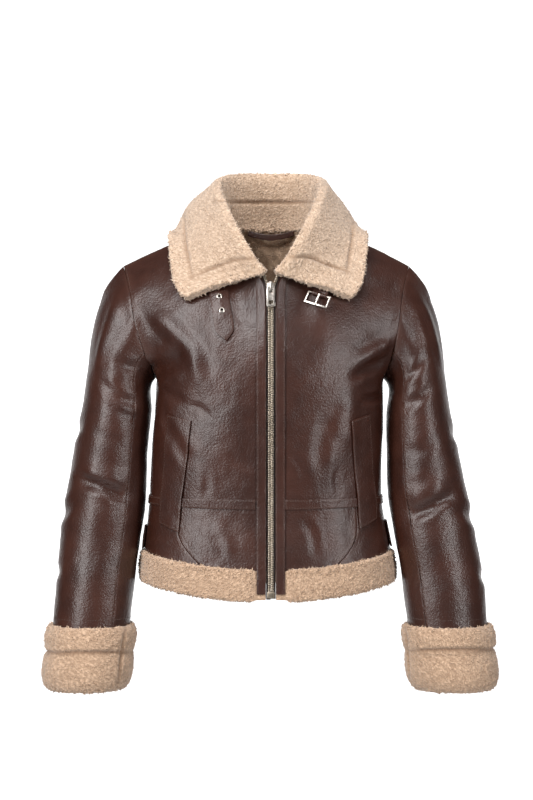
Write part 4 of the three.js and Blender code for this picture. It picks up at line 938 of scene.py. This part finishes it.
def strewn_locks(name: str, skin: bmesh.types.BMesh, shares: np.ndarray, count: int, seed: int,
                 material: bpy.types.Material) -> bpy.types.Object:
    """Strews loose locks of pile over a skin, with painted shade at their roots.

    Args:
        name: the name of the joined locks.
        skin: the curled skin.
        shares: how likely each face is to bear a lock.
        count: how many locks.
        seed: fixes the scatter.
        material: the locks' finish.

    Returns:
        The joined locks.
    """
    draw = np.random.default_rng(seed + 11)
    faces = list(skin.faces)
    picked = draw.choice(len(faces), count, p=shares / shares.sum())
    loft_and_shade, edge = skin.verts.layers.float["loft_and_shade"], skin.verts.layers.float.get("rim")
    spots = np.zeros((count, 8))
    for row, index in enumerate(picked):
        face = faces[index]
        weights = draw.dirichlet(np.ones(len(face.verts)))
        for weight, vertex in zip(weights, face.verts):
            rim = vertex[edge] if edge else 0.0
            spots[row] += weight * np.array([*vertex.co, *face.normal, vertex[loft_and_shade], rim])
    points, normals, root_shades, rims = spots[:, :3], spots[:, 3:6], spots[:, 6], spots[:, 7]
    lean = draw.normal(size=(count, 3)) * (0.6 - 0.25 * rims[:, None]) + normals
    lean[:, 2] -= 0.3
    lean /= np.linalg.norm(lean, axis=1, keepdims=True)
    side = np.cross(lean, draw.normal(size=(count, 3)))
    side /= np.linalg.norm(side, axis=1, keepdims=True)
    sizes = draw.uniform(0.65, 1.1, count) * (1 + 0.45 * rims)
    tuft = Tuft()
    lock = tuft.shape()
    reach = np.array([min(1.0, v.co.z / tuft.length) for v in lock.verts])
    # Painted shade on the locks: darker at their roots and between curls, lighter towards their tips.
    values = np.clip(0.30 + 0.45 * root_shades[:, None] + 0.35 * reach[None], 0, 1)
    frames = frames_from(points - normals * LOCK_ROOT, side, lean, sizes)
    return joined(name, lock, frames, material, {"loft_and_shade": values})


# Trim, stitching, zip and hardware


@dataclass
class Trim:
    """The leather strips, straps and welts laid on the panels, and the zip's tapes."""

    cuts: tuple[Cut, ...]
    finishes: dict[str, bpy.types.Material]
    levels: int = 2
    edge_radius: float = 0.0012
    wear_and_highlight_reach: float = 0.0015
    skins: dict[str, bmesh.types.BMesh] = field(default_factory=dict)

    def dress(self, field_of_creases: CreaseField) -> None:
        """Rounds, folds and finishes every strip.

        Args:
            field_of_creases: the creases that the strips take.
        """
        for cut in self.cuts:
            skin = refined(node_copy(cut.node), self.levels)
            move_to(skin, field_of_creases.moved(points_of(skin)))
            self.skins[cut.node] = skin.copy()
            places = points_of(skin)
            rim = sharp_middles(skin)
            # Painted highlight along the strip edges, mixed with rubbed wear.
            rub_highlight = np.exp(-distance_to(places, rim) / self.wear_and_highlight_reach)
            rough = np.array([0.5 + noise.noise(Vector(place) * 60.0) for place in places])
            paint(skin, "wear_and_highlight", 0.6 * np.clip(rub_highlight * rough, 0, 1))
            round_edges(skin, self.edge_radius)
            finish = self.finishes.get(cut.node, self.finishes["strip"])
            piece = grow_skin(cut.node + "_strip", skin, [finish])
            skin.free()
            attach(piece, JACKET)
            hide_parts(cut.node)
        LOG.info("trim: %d strips", len(self.cuts))


@dataclass(frozen=True)
class Row:
    """A row of stitches along the edge of a piece, beside the pieces named, or all round if none is."""

    piece: str
    beside: tuple[str, ...] = ()
    inset: float = 2.5
    outer_half: bool = False
    reach: float = 9.0


@dataclass
class Stitching:
    """The rows of sewing thread."""

    rows: tuple[Row, ...]
    thread: bpy.types.Material
    length: float = 0.0030
    thickness: float = 0.00085
    pitch: float = 0.0040
    rise: float = 0.0001
    dip: float = 0.0004

    def stitch(self) -> bmesh.types.BMesh:
        """Makes one stitch, a short thread whose ends dip into the leather."""
        shape = bmesh.new()
        bmesh.ops.create_uvsphere(shape, u_segments=4, v_segments=3, radius=0.5)
        bmesh.ops.rotate(shape, verts=shape.verts, matrix=Matrix.Rotation(math.pi / 2, 3, "Y"))
        bmesh.ops.scale(shape, verts=shape.verts, vec=(self.length, self.thickness, self.thickness))
        for vertex in shape.verts:
            vertex.co.z -= self.dip * (2 * vertex.co.x / self.length) ** 2
        return shape

    def sew(self, skins: dict[str, bmesh.types.BMesh]) -> None:
        """Sews every row.

        Args:
            skins: the finished skins that the rows lie on, by node.
        """
        sewn: list[np.ndarray] = []
        for row in self.rows:
            near = [skins[name] for name in row.beside]
            neighbours = tree_of(near) if near else None
            surface = tree_of([skins[row.piece]])
            for line in edge_lines(skins[row.piece], row.inset * MM):
                even = settled(line.spaced(self.pitch), surface)
                if len(even.points) < 3:
                    continue
                frames = frames_from(even.points + even.normals * self.rise, directions(even.points),
                                     even.normals)
                keep = [self.wanted(row, Vector(point), neighbours) for point in even.points]
                sewn.append(frames[np.array(keep)])
        frames = np.concatenate(sewn)
        piece = joined("stitches", self.stitch(), frames, self.thread)
        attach(piece, JACKET)
        LOG.info("stitches: %d", len(frames))

    def wanted(self, row: Row, point: Vector, neighbours: BVHTree | None) -> bool:
        """Tells whether a row has a stitch at a point."""
        if row.outer_half and abs(point.x) < PLACKET_MIDDLE:
            return False
        if neighbours is None:
            return True
        return neighbours.find_nearest(point, row.reach * MM)[0] is not None


def settled(line: Line, surface: BVHTree) -> Line:
    """Sets a line down on the nearest places of a surface."""
    found = [surface.find_nearest(Vector(point)) for point in line.points]
    return Line(np.array([spot for spot, *_ in found]), np.array([normal for _, normal, *_ in found]))


def edge_lines(skin: bmesh.types.BMesh, inset: float) -> list[Line]:
    """Finds the lines that run a fixed way inside the edge of a piece's outer face.

    Args:
        skin: the whole piece.
        inset: how far inside its edge.

    Returns:
        The closed lines.
    """
    shell = skin.copy()
    regions = smooth_regions(shell)
    outer = max(regions, key=lambda faces: sum(f.calc_area() * outwardness(f) for f in faces))
    keep = set(outer)
    bmesh.ops.delete(shell, geom=[f for f in shell.faces if f not in keep], context="FACES")
    rim = bmesh.ops.inset_region(shell, faces=shell.faces, thickness=inset, use_boundary=True,
                                 use_even_offset=True)["faces"]
    border = set(rim)
    ring = [e for e in shell.edges if len(e.link_faces) == 2
            and len([f for f in e.link_faces if f in border]) == 1]
    lines = []
    left = set(ring)
    while left:
        edge = left.pop()
        chain = [edge.verts[0], edge.verts[1]]
        while True:
            onward = [e for e in chain[-1].link_edges if e in left]
            if not onward:
                break
            left.discard(onward[0])
            chain.append(onward[0].other_vert(chain[-1]))
        lines.append(Line(np.array([v.co for v in chain]), np.array([v.normal for v in chain])))
    shell.free()
    return lines


def outwardness(face: bmesh.types.BMFace) -> float:
    """Tells how far a face looks away from the body or sleeve around it, from -1 to 1."""
    middle = face.calc_center_median()
    spine = BODY_SPINE
    beside_body = abs(middle.x) > BODY_HALF_WIDTH and middle.z < ARMHOLE_FOOT
    if beside_body or abs(middle.x) > SHOULDER_HALF_WIDTH:
        flip = Vector((math.copysign(1.0, middle.x), 1, 1))
        spine = (SLEEVE_SPINE_TOP * flip, SLEEVE_SPINE_END * flip)
    return face.normal.dot((middle - spine_place(spine, middle.z)).normalized())


@dataclass
class Zip:
    """The two rows of zip teeth, meshed below the slider and parting above it."""

    teeth: bpy.types.Material
    tape: bpy.types.Material
    pitch: float = 0.0026
    tooth: tuple[float, float, float] = (0.0042, 0.0017, 0.0024)
    cord: tuple[float, float, float] = (0.0068, 0.0027, 0.0004)
    cord_place: tuple[float, float, float] = (-0.0015, 0.0, -0.0016)
    cord_run_on: int = 4

    def tooth_shape(self) -> bmesh.types.BMesh:
        """Makes one tooth: a block that narrows to its head, with rolled edges."""
        shape = bmesh.new()
        bmesh.ops.create_cube(shape, size=1.0)
        bmesh.ops.scale(shape, verts=shape.verts, vec=self.tooth)
        head = [v for v in shape.verts if v.co.x > 0]
        bmesh.ops.scale(shape, verts=head, vec=(1.0, 0.72, 0.8))
        bmesh.ops.bevel(shape, geom=shape.edges, offset=0.0003, offset_type="OFFSET", segments=1,
                        profile=0.5, affect="EDGES", material=-1)
        return shape

    def cord_shape(self) -> bmesh.types.BMesh:
        """Makes one tooth's length of the tape's inner edge, which closes the zip behind the teeth."""
        shape = bmesh.new()
        bmesh.ops.create_cube(shape, size=1.0)
        bmesh.ops.scale(shape, verts=shape.verts, vec=self.cord)
        bmesh.ops.translate(shape, verts=shape.verts, vec=self.cord_place)
        return shape

    def run_on(self, frames: np.ndarray) -> np.ndarray:
        """Repeats the lowest frame a few steps further down, behind the stop."""
        more = np.repeat(frames[:1], self.cord_run_on, axis=0)
        steps = np.arange(self.cord_run_on, 0, -1)[:, None] * self.pitch
        more[:, :3, 3] -= steps * frames[0, :3, 1]
        return np.concatenate([more, frames])

    def dress(self) -> None:
        """Makes both rows along the CAD's own strips."""
        for node, side, start in (("zip_teeth_right", -1.0, 0.0), ("zip_teeth_left", 1.0, 0.5)):
            places = np.array([v.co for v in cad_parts[node].data.vertices])
            levels = np.linspace(places[:, 2].min(), places[:, 2].max(), 48)
            middles = []
            for low, high in zip(levels, levels[1:]):
                inside = places[(places[:, 2] >= low) & (places[:, 2] <= high)]
                if len(inside):
                    middles.append(np.r_[(inside.min(0) + inside.max(0))[:2] / 2, inside[:, 2].mean()])
            run = np.array(middles)
            line = Line(run, np.tile([0.0, -1.0, 0.0], (len(run), 1))).spaced(self.pitch)
            points = line.points + directions(line.points) * self.pitch * start
            along = directions(points)
            inward = np.tile([-side, 0.0, 0.0], (len(points), 1))
            out = np.cross(inward, along)
            out *= np.sign(-out[:, 1:2])
            frames = np.tile(np.eye(4), (len(points), 1, 1))
            frames[:, :3, 0] = inward
            frames[:, :3, 1] = along
            frames[:, :3, 2] = out
            frames[:, :3, 3] = points
            row = joined(node + "_row", self.tooth_shape(), frames, self.teeth)
            turn_outward(row)
            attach(row, JACKET)
            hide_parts(node)
            cord = joined(node + "_cord", self.cord_shape(), self.run_on(frames), self.tape)
            turn_outward(cord)
            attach(cord, JACKET)
            LOG.info("%s: %d teeth", row.name, len(points))


def turn_outward(piece: bpy.types.Object) -> None:
    """Points a piece's faces outward."""
    skin = bmesh.new()
    skin.from_mesh(piece.data)
    bmesh.ops.recalc_face_normals(skin, faces=skin.faces)
    skin.to_mesh(piece.data)
    skin.free()


@dataclass
class Hardware:
    """The slider, pull tab, stop, eyelets and buckle, with their edges rolled."""

    bodies: dict[str, str]
    metals: dict[str, bpy.types.Material]
    slots: dict[str, str]
    smooth: tuple[str, ...] = ("buckle_prong", "eyelet_upper", "eyelet_lower")
    edge_radius: float = 0.00035

    def dress(self) -> None:
        """Finishes every metal piece on its own body."""
        for node, body in self.bodies.items():
            skin = node_copy(node)
            if node in self.smooth:
                skin = refined(skin, 1)
            else:
                round_edges(skin, self.edge_radius, math.radians(30))
            piece = grow_skin(node + "_metal", skin, [self.metals[node]])
            skin.free()
            piece.data.set_sharp_from_angle(angle=math.radians(40))
            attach(piece, body)
            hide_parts(node)
        LOG.info("hardware: %d pieces", len(self.bodies))


# Studio


@dataclass
class Studio:
    """A pale sweep, soft lights and the camera at the photograph's angle."""

    floor_height: float = -2.5
    floor_run: float = 10.0
    wall_depth: float = 5.0
    wall_height: float = 4.2
    half_width: float = 5.0
    bend_radius: float = 0.5
    bend_run: float = 0.8
    wall_run: float = 1.2
    wall_glow: float = 0.96
    lens: float = 88.2

    def build(self) -> None:
        """Sets up the sweep, the lights, the sky and the camera."""
        self.sweep()
        self.light("key", (-1.3, -2.5, 1.7), 1.0, 1.0, 70.0)
        self.light("top", (0.2, -0.8, 2.2), 1.2, 1.2, 40.0)
        self.light("strip_right", (-1.9, -2.1, 0.0), 0.45, 1.7, 46.0)
        self.light("strip_left", (2.0, -2.0, 0.0), 0.40, 1.7, 36.0)
        world = bpy.data.worlds.new("studio")
        world.use_nodes = True
        sky = world.node_tree.nodes["Background"]
        sky.inputs["Color"].default_value = (1.0, 1.0, 1.0, 1.0)
        sky.inputs["Strength"].default_value = 0.09
        bpy.context.scene.world = world
        bpy.context.scene.view_settings.view_transform = "Standard"
        self.camera()

    def sweep(self) -> None:
        """Makes the floor and the wall behind, in one curved sheet."""
        skin = bmesh.new()
        bmesh.ops.create_grid(skin, x_segments=4, y_segments=96, size=1.0)
        whole = self.floor_run + self.bend_run + self.wall_run
        for vertex in skin.verts:
            run = (vertex.co.y + 1.0) * whole / 2 - self.floor_run
            bend = min(max(run / self.bend_run, 0.0), 1.0) * math.pi / 2
            rise = max(run - self.bend_run, 0.0) * self.wall_height / self.wall_run
            vertex.co = Vector((
                vertex.co.x * self.half_width,
                self.wall_depth + min(run, 0.0) + self.bend_radius * (math.sin(bend) - 1),
                self.floor_height + self.bend_radius * (1 - math.cos(bend)) + rise,
            ))
        mesh = bpy.data.meshes.new("sweep")
        skin.to_mesh(mesh)
        skin.free()
        sheet = grow("sweep", mesh)
        board = NodeBoard("sweep_paint")
        tone = board.blend(board.noise(0.8, 2.0), 0, (0.93, 0.93, 0.93), (0.96, 0.96, 0.96))
        board.join(tone, 2, board.shader, "Base Color")
        height = board.add("ShaderNodeSeparateXYZ")
        board.tree.links.new(board.place, height.inputs["Vector"])
        glow = board.add("ShaderNodeMapRange", From_Min=self.floor_height, From_Max=self.floor_height + 0.15,
                         To_Max=self.wall_glow)
        board.join(height, "Z", glow, "Value")
        board.join(glow, 0, board.shader, "Emission Strength")
        board.finish(Roughness=0.9, Emission_Color=(1.0, 1.0, 1.0, 1.0))
        mesh.materials.append(board.material)
        mesh.shade_smooth()

    def light(self, name: str, place: tuple[float, float, float], width: float, height: float,
              power: float) -> None:
        """Hangs one soft oblong light that looks at the jacket's middle."""
        lamp = bpy.data.lights.new(name, "AREA")
        lamp.shape = "RECTANGLE"
        lamp.size = width
        lamp.size_y = height
        lamp.energy = power
        holder = bpy.data.objects.new(name, lamp)
        bpy.context.scene.collection.objects.link(holder)
        holder.location = place
        aim = Vector((0.0, 0.0, -0.3)) - Vector(place)
        holder.rotation_euler = aim.to_track_quat("-Z", "Y").to_euler()

    def camera(self) -> None:
        """Places the camera where the photograph was taken from."""
        eye = bpy.data.cameras.new("eye")
        eye.lens = self.lens
        eye.sensor_width = 36.0
        eye.shift_x = -0.0054
        eye.shift_y = -0.0141
        eye.clip_end = 30.0
        holder = bpy.data.objects.new("eye", eye)
        bpy.context.scene.collection.objects.link(holder)
        holder.location = EYE
        holder.rotation_euler = (math.pi / 2, 0.0, 0.0)
        bpy.context.scene.camera = holder


# The jacket's own sizes


LINING_SHARE = 0.2
NECK_HALF_WIDTH = 0.11
NECK_FOOT = -0.15
NECK_SEED = 31
BODY_HALF_WIDTH = 0.17
SHOULDER_HALF_WIDTH = 0.225
ARMHOLE_FOOT = -0.1
CREASE_REACH = 3.2
CLOTH_REACH = 0.02
LOCK_ROOT = 0.0011
PLACKET_MIDDLE = 0.017
FRONT_BANDS = ("hem_band_right", "hem_band_left")
STRIP_REACH = 0.021
STRIP_FADE = 0.008
LOCK_REACH = STRIP_REACH + 0.005

LOCKS_AT_MOST = {
    "collar": 14500,
    "cuff_right": 7000,
    "cuff_left": 7000,
    "hem_band_right": 3300,
    "hem_band_left": 3300,
    "hem_band_back": 5200,
}

PANEL_CUTS = (
    Cut("front_right", 0.28, 0.43, 0.0895, "back_cloth"),
    Cut("front_left", 0.27, 0.43, 0.0851, "back_cloth"),
    Cut("back", 0.50, 0.43, 0.182, "front_right_cloth"),
    Cut("lower_front_right", 0.165, 0.100, 0.0135, "front_right_cloth"),
    Cut("lower_front_left", 0.155, 0.100, 0.0126, "front_left_cloth"),
    Cut("lower_side_right", 0.085, 0.100, 0.0078, "front_right_cloth"),
    Cut("lower_side_left", 0.085, 0.100, 0.0078, "front_left_cloth"),
    Cut("lower_back", 0.43, 0.100, 0.0408, "back_cloth"),
    Cut("top_sleeve_right", 0.30, 0.58, 0.127, "front_right_cloth"),
    Cut("under_sleeve_right", 0.12, 0.44, 0.045, "front_right_cloth"),
    Cut("top_sleeve_left", 0.30, 0.58, 0.126, "front_left_cloth"),
    Cut("under_sleeve_left", 0.12, 0.44, 0.045, "front_left_cloth"),
)

PILE_CUTS = (
    Cut("collar", 0.66, 0.19, 0.105, "back_cloth"),
    Cut("cuff_right", 0.40, 0.11, 0.0375, "top_sleeve_right_cloth"),
    Cut("cuff_left", 0.40, 0.11, 0.0380, "top_sleeve_left_cloth"),
    Cut("hem_band_right", 0.20, 0.065, 0.0125, "lower_front_right_cloth"),
    Cut("hem_band_left", 0.20, 0.065, 0.0121, "lower_front_left_cloth"),
    Cut("hem_band_back", 0.40, 0.065, 0.0250, "lower_back_cloth"),
)

TRIM_CUTS = (
    Cut("zip_tape_right", 0.011, 0.478, 0.0042, "front_right_cloth"),
    Cut("zip_tape_left", 0.011, 0.478, 0.0042, "front_left_cloth"),
    Cut("placket_right", 0.018, 0.478, 0.0076, "front_right_cloth", ("zip_tape_right",)),
    Cut("placket_left", 0.018, 0.478, 0.0076, "front_left_cloth", ("zip_tape_left",)),
    Cut("welt_right", 0.048, 0.180, 0.0074, "front_right_cloth"),
    Cut("welt_left", 0.045, 0.176, 0.0068, "front_left_cloth"),
    Cut("side_tab_right", 0.052, 0.070, 0.0034, "lower_side_right_cloth"),
    Cut("side_tab_left", 0.052, 0.070, 0.0034, "lower_side_left_cloth"),
    Cut("waist_strip_right", 0.22, 0.016, 0.0033, "front_right_cloth"),
    Cut("waist_strip_left", 0.21, 0.016, 0.0031, "front_left_cloth"),
    Cut("waist_strip_back", 0.44, 0.016, 0.0067, "back_cloth"),
    Cut("throat_strap", 0.030, 0.075, 0.0021, "front_right_cloth"),
    Cut("buckle_tab", 0.016, 0.036, 0.0005, "front_left_cloth"),
    Cut("hanger_loop", 0.010, 0.085, 0.0008, "collar_pile"),
)

CREASES = (
    Crease(View.FRONT, 13, -6.5, ((-187, -228), (-157, -216), (-127, -198))),
    Crease(View.FRONT, 12, 5.0, ((-199, -117), (-154, -156), (-118, -195), (-109, -255))),
    Crease(View.FRONT, 5, -1.6, ((-127, -273), (-106, -280), (-85, -297))),
    Crease(View.FRONT, 6, -1.8, ((-166, -243), (-148, -261), (-124, -270))),
    Crease(View.FRONT, 8, -5.0, ((182, -204), (152, -217), (116, -234))),
    Crease(View.FRONT, 9, 4.5, ((188, -178), (158, -192), (122, -210))),
    Crease(View.FRONT, 6, -4.5, ((179, -253), (159, -262), (134, -267))),
    Crease(View.FRONT, 14, 2.5, ((122, -255), (116, -297), (113, -342))),
    Crease(View.FRONT, 10, -2.2, ((-163, -264), (-151, -312), (-112, -372))),
    Crease(View.FRONT, 11, -2.0, ((89, -267), (77, -327), (71, -387))),
    Crease(View.FRONT, 5, -1.3, ((-67, -345), (-46, -360), (-22, -366))),
    Crease(View.FRONT, 5, -1.2, ((-70, -369), (-46, -387), (-22, -393))),
    Crease(View.FRONT, 4, -1.2, ((-61, -399), (-40, -408), (-21, -411))),
    Crease(View.FRONT, 4, -1.1, ((-67, -126), (-49, -144), (-28, -168))),
    Crease(View.FRONT, 5, -1.4, ((23, -345), (41, -360), (53, -387))),
    Crease(View.FRONT, 6, -1.4, ((-99, -372), (-96, -393), (-100, -415))),
    Crease(View.FRONT, 6, -1.5, ((101, -366), (98, -390), (104, -412))),
    Crease(View.FRONT, 8, 1.6, ((-85, -447), (-67, -477), (-58, -510))),
    Crease(View.FRONT, 7, -1.5, ((44, -441), (62, -468), (68, -507))),
    Crease(View.FRONT, 8, -5.5, ((-298, -378), (-276, -390), (-248, -400), (-211, -415))),
    Crease(View.FRONT, 11, 3.0, ((-286, -366), (-254, -378), (-214, -391))),
    Crease(View.FRONT, 8, -1.8, ((-274, -312), (-247, -324), (-217, -327))),
    Crease(View.FRONT, 7, -2.4, ((-262, -231), (-232, -261), (-196, -273))),
    Crease(View.FRONT, 6, -2.2, ((-250, -264), (-223, -288), (-190, -300))),
    Crease(View.FRONT, 7, -2.4, ((-238, -201), (-217, -216), (-196, -216))),
    Crease(View.FRONT, 8, -5.5, ((203, -441), (228, -433), (252, -422), (282, -405))),
    Crease(View.FRONT, 11, 3.0, ((200, -417), (234, -405), (266, -388))),
    Crease(View.FRONT, 8, -1.6, ((194, -345), (224, -342), (254, -324))),
    Crease(View.FRONT, 7, -2.4, ((194, -279), (218, -267), (248, -243))),
    Crease(View.FRONT, 6, -2.0, ((197, -237), (218, -222), (236, -195))),
    Crease(View.FRONT, 10, 2.2, ((-229, -102), (-247, -162), (-265, -225))),
    Crease(View.FRONT, 10, 2.2, ((224, -105), (245, -168), (260, -231))),
    Crease(View.FRONT, 9, -2.0, ((-214, -117), (-223, -162), (-238, -195))),
    Crease(View.FRONT, 9, -2.0, ((206, -117), (215, -162), (230, -195))),
    Crease(View.BACK, 16, -4.0, ((-170, -190), (-130, -170), (-84, -176))),
    Crease(View.BACK, 15, -4.0, ((172, -196), (136, -178), (92, -188))),
    Crease(View.BACK, 12, 3.0, ((-166, -216), (-120, -206), (-70, -236))),
    Crease(View.BACK, 13, 2.6, ((164, -222), (118, -216), (76, -250))),
    Crease(View.BACK, 18, -3.0, ((-110, -300), (-60, -330), (0, -336), (58, -322))),
    Crease(View.BACK, 12, -2.4, ((120, -330), (80, -356), (30, -362))),
    Crease(View.BACK, 9, -2.2, ((-130, -372), (-90, -386), (-40, -380))),
    Crease(View.BACK, 8, -1.8, ((-60, -396), (-58, -404), (-62, -414))),
    Crease(View.BACK, 8, -1.8, ((36, -388), (40, -400), (38, -414))),
    Crease(View.BACK, 8, -1.8, ((110, -392), (114, -402), (110, -414))),
    Crease(View.BACK, 14, -2.2, ((-20, -60), (-10, -110), (-14, -160))),
    Crease(View.BACK, 12, -4.4, ((-290, -412), (-256, -402), (-214, -380))),
    Crease(View.BACK, 9, 2.8, ((-288, -390), (-252, -380), (-212, -360))),
    Crease(View.BACK, 9, -2.8, ((-270, -330), (-246, -322), (-208, -306))),
    Crease(View.BACK, 9, -2.6, ((-300, -500), (-262, -486), (-232, -470))),
    Crease(View.BACK, 8, -2.2, ((-312, -560), (-276, -560), (-236, -544))),
    Crease(View.BACK, 12, -4.4, ((292, -420), (258, -404), (214, -388))),
    Crease(View.BACK, 9, 2.8, ((290, -398), (254, -384), (214, -366))),
    Crease(View.BACK, 9, -2.8, ((268, -340), (246, -326), (210, -316))),
    Crease(View.BACK, 9, -2.6, ((302, -510), (266, -492), (232, -480))),
    Crease(View.BACK, 8, -2.2, ((310, -566), (276, -556), (238, -552))),
    Crease(View.RIGHT, 10, -2.6, ((-40, -300), (0, -316), (40, -308))),
    Crease(View.RIGHT, 11, -3.2, ((-60, -420), (-10, -440), (40, -430))),
    Crease(View.RIGHT, 9, -2.4, ((-50, -520), (0, -534), (30, -526))),
    Crease(View.LEFT, 10, -2.6, ((-40, -310), (0, -322), (42, -312))),
    Crease(View.LEFT, 11, -3.2, ((-62, -426), (-12, -446), (38, -436))),
    Crease(View.LEFT, 9, -2.4, ((-52, -526), (-2, -540), (28, -530))),
)

PILE_SEAMS = (
    Crease(View.FRONT, 3.0, -3.6, ((-130, 20), (-129, -25), (-123, -60), (-118, -85)), 0.1),
    Crease(View.FRONT, 3.0, -3.6, ((-121, -84), (-82, -67), (-51, -57), (-22, -55)), 0.1),
    Crease(View.FRONT, 3.0, -3.6, ((125, 9), (120, -39), (114, -76)), 0.1),
    Crease(View.FRONT, 3.0, -3.6, ((117, -75), (86, -64), (60, -54), (29, -52)), 0.1),
    Crease(View.FRONT, 3.0, -3.2, ((-85, 30), (-40, 29), (-9, 29), (29, 29), (69, 30)), 0.1),
    Crease(View.FRONT, 3.0, -3.6, ((-355, -645), (-316, -646), (-256, -646), (-193, -645)), 0.1),
    Crease(View.BACK, 3.0, -3.6, ((-360, -645), (-300, -646), (-200, -645)), 0.1),
    Crease(View.RIGHT, 3.0, -3.6, ((-100, -645), (-20, -646), (60, -645)), 0.1),
    Crease(View.FRONT, 3.0, -3.6, ((182, -643), (254, -642), (350, -640)), 0.1),
    Crease(View.BACK, 3.0, -3.6, ((200, -641), (300, -642), (360, -641)), 0.1),
    Crease(View.LEFT, 3.0, -3.6, ((-100, -641), (-20, -642), (60, -641)), 0.1),
    Crease(View.FRONT, 3.0, -3.4, ((-219, -609), (-223, -642), (-229, -690)), 0.1),
    Crease(View.FRONT, 3.0, -3.4, ((203, -609), (206, -651), (209, -693)), 0.1),
)

ROWS = (
    Row("front_right", ("back", "top_sleeve_right")),
    Row("front_left", ("back", "top_sleeve_left")),
    Row("back", ("top_sleeve_right", "top_sleeve_left")),
    Row("lower_front_right", ("hem_band_right", "lower_side_right")),
    Row("lower_front_right", ("lower_side_right",), 7.5),
    Row("lower_front_left", ("hem_band_left", "lower_side_left")),
    Row("lower_front_left", ("lower_side_left",), 7.5),
    Row("lower_side_right", ("hem_band_right",)),
    Row("lower_side_left", ("hem_band_left",)),
    Row("lower_back", ("hem_band_back", "lower_side_right", "lower_side_left")),
    Row("top_sleeve_right", ("under_sleeve_right",)),
    Row("top_sleeve_left", ("under_sleeve_left",)),
    Row("top_sleeve_right", ("cuff_right",), 22.0, reach=14.0),
    Row("top_sleeve_left", ("cuff_left",), 22.0, reach=14.0),
    Row("under_sleeve_right", ("cuff_right",), 22.0, reach=14.0),
    Row("under_sleeve_left", ("cuff_left",), 22.0, reach=14.0),
    Row("placket_right", (), 2.4, True),
    Row("placket_left", (), 2.4, True),
    Row("welt_right"),
    Row("welt_left"),
    Row("side_tab_right"),
    Row("side_tab_left"),
    Row("waist_strip_right", (), 2.2),
    Row("waist_strip_left", (), 2.2),
    Row("waist_strip_back", (), 2.2),
    Row("throat_strap", (), 2.2),
)

METAL_BODIES = {
    "zip_slider": JACKET,
    "zip_stop": JACKET,
    "pull_tab": "pull_tab",
    "eyelet_upper": JACKET,
    "eyelet_lower": JACKET,
    "buckle_frame": "buckle_frame",
    "buckle_prong": "buckle_prong",
}


def main() -> None:
    """Builds the jacket's visible pieces, the studio and the camera, in order."""
    logging.basicConfig(level=logging.INFO, format="%(message)s")
    leather = Leather().material()
    # Each pile's first colour is painted shade down between the curls; the second is its colour on top of
    # them.
    lining = Pile("lining", (0.22, 0.130, 0.078), (0.62, 0.43, 0.29), 0.0045).material()
    collar_pile = Pile("collar_sherpa", (0.34, 0.215, 0.135), (0.76, 0.565, 0.415)).material()
    trim_pile = Pile("trim_sherpa", (0.27, 0.160, 0.095), (0.70, 0.480, 0.325)).material()
    nickel = Metal("nickel", (0.78, 0.72, 0.66), (0.45, 0.40, 0.36)).material()
    brass = Metal("brass", (0.60, 0.51, 0.41), (0.34, 0.28, 0.21), (0.28, 0.45)).material()
    tape = Weave("zip_tape", (0.020, 0.010, 0.008), (0.050, 0.028, 0.022)).material()
    thread = Weave("thread", (0.055, 0.028, 0.020), (0.120, 0.068, 0.048), 0.0006).material()

    panels = Panels(PANEL_CUTS, leather, lining)
    pile = Sherpa(
        PILE_CUTS,
        finishes={cut.node: collar_pile if cut.node == "collar" else trim_pile for cut in PILE_CUTS},
        slots={cut.node: "collar_sherpa" if cut.node == "collar" else "sherpa" for cut in PILE_CUTS},
        locks_at_most=LOCKS_AT_MOST,
    )
    creases = CreaseField(panels.prepare(), CREASES)
    panels.dress(creases)
    pile.prepare()
    pile.dress(CreaseField(tree_of(pile.skins.values()), PILE_SEAMS))
    trim = Trim(TRIM_CUTS, {"strip": leather, "zip_tape_right": tape, "zip_tape_left": tape})
    trim.dress(creases)
    Stitching(ROWS, thread).sew({**panels.folded, **pile.skins, **trim.skins})
    Zip(brass, tape).dress()
    Hardware(
        METAL_BODIES,
        metals={node: brass if node == "zip_stop" else nickel for node in METAL_BODIES},
        slots={node: "brass" if node == "zip_stop" else "nickel" for node in METAL_BODIES},
    ).dress()
    Studio().build()


if __name__ == "__main__":
    main()
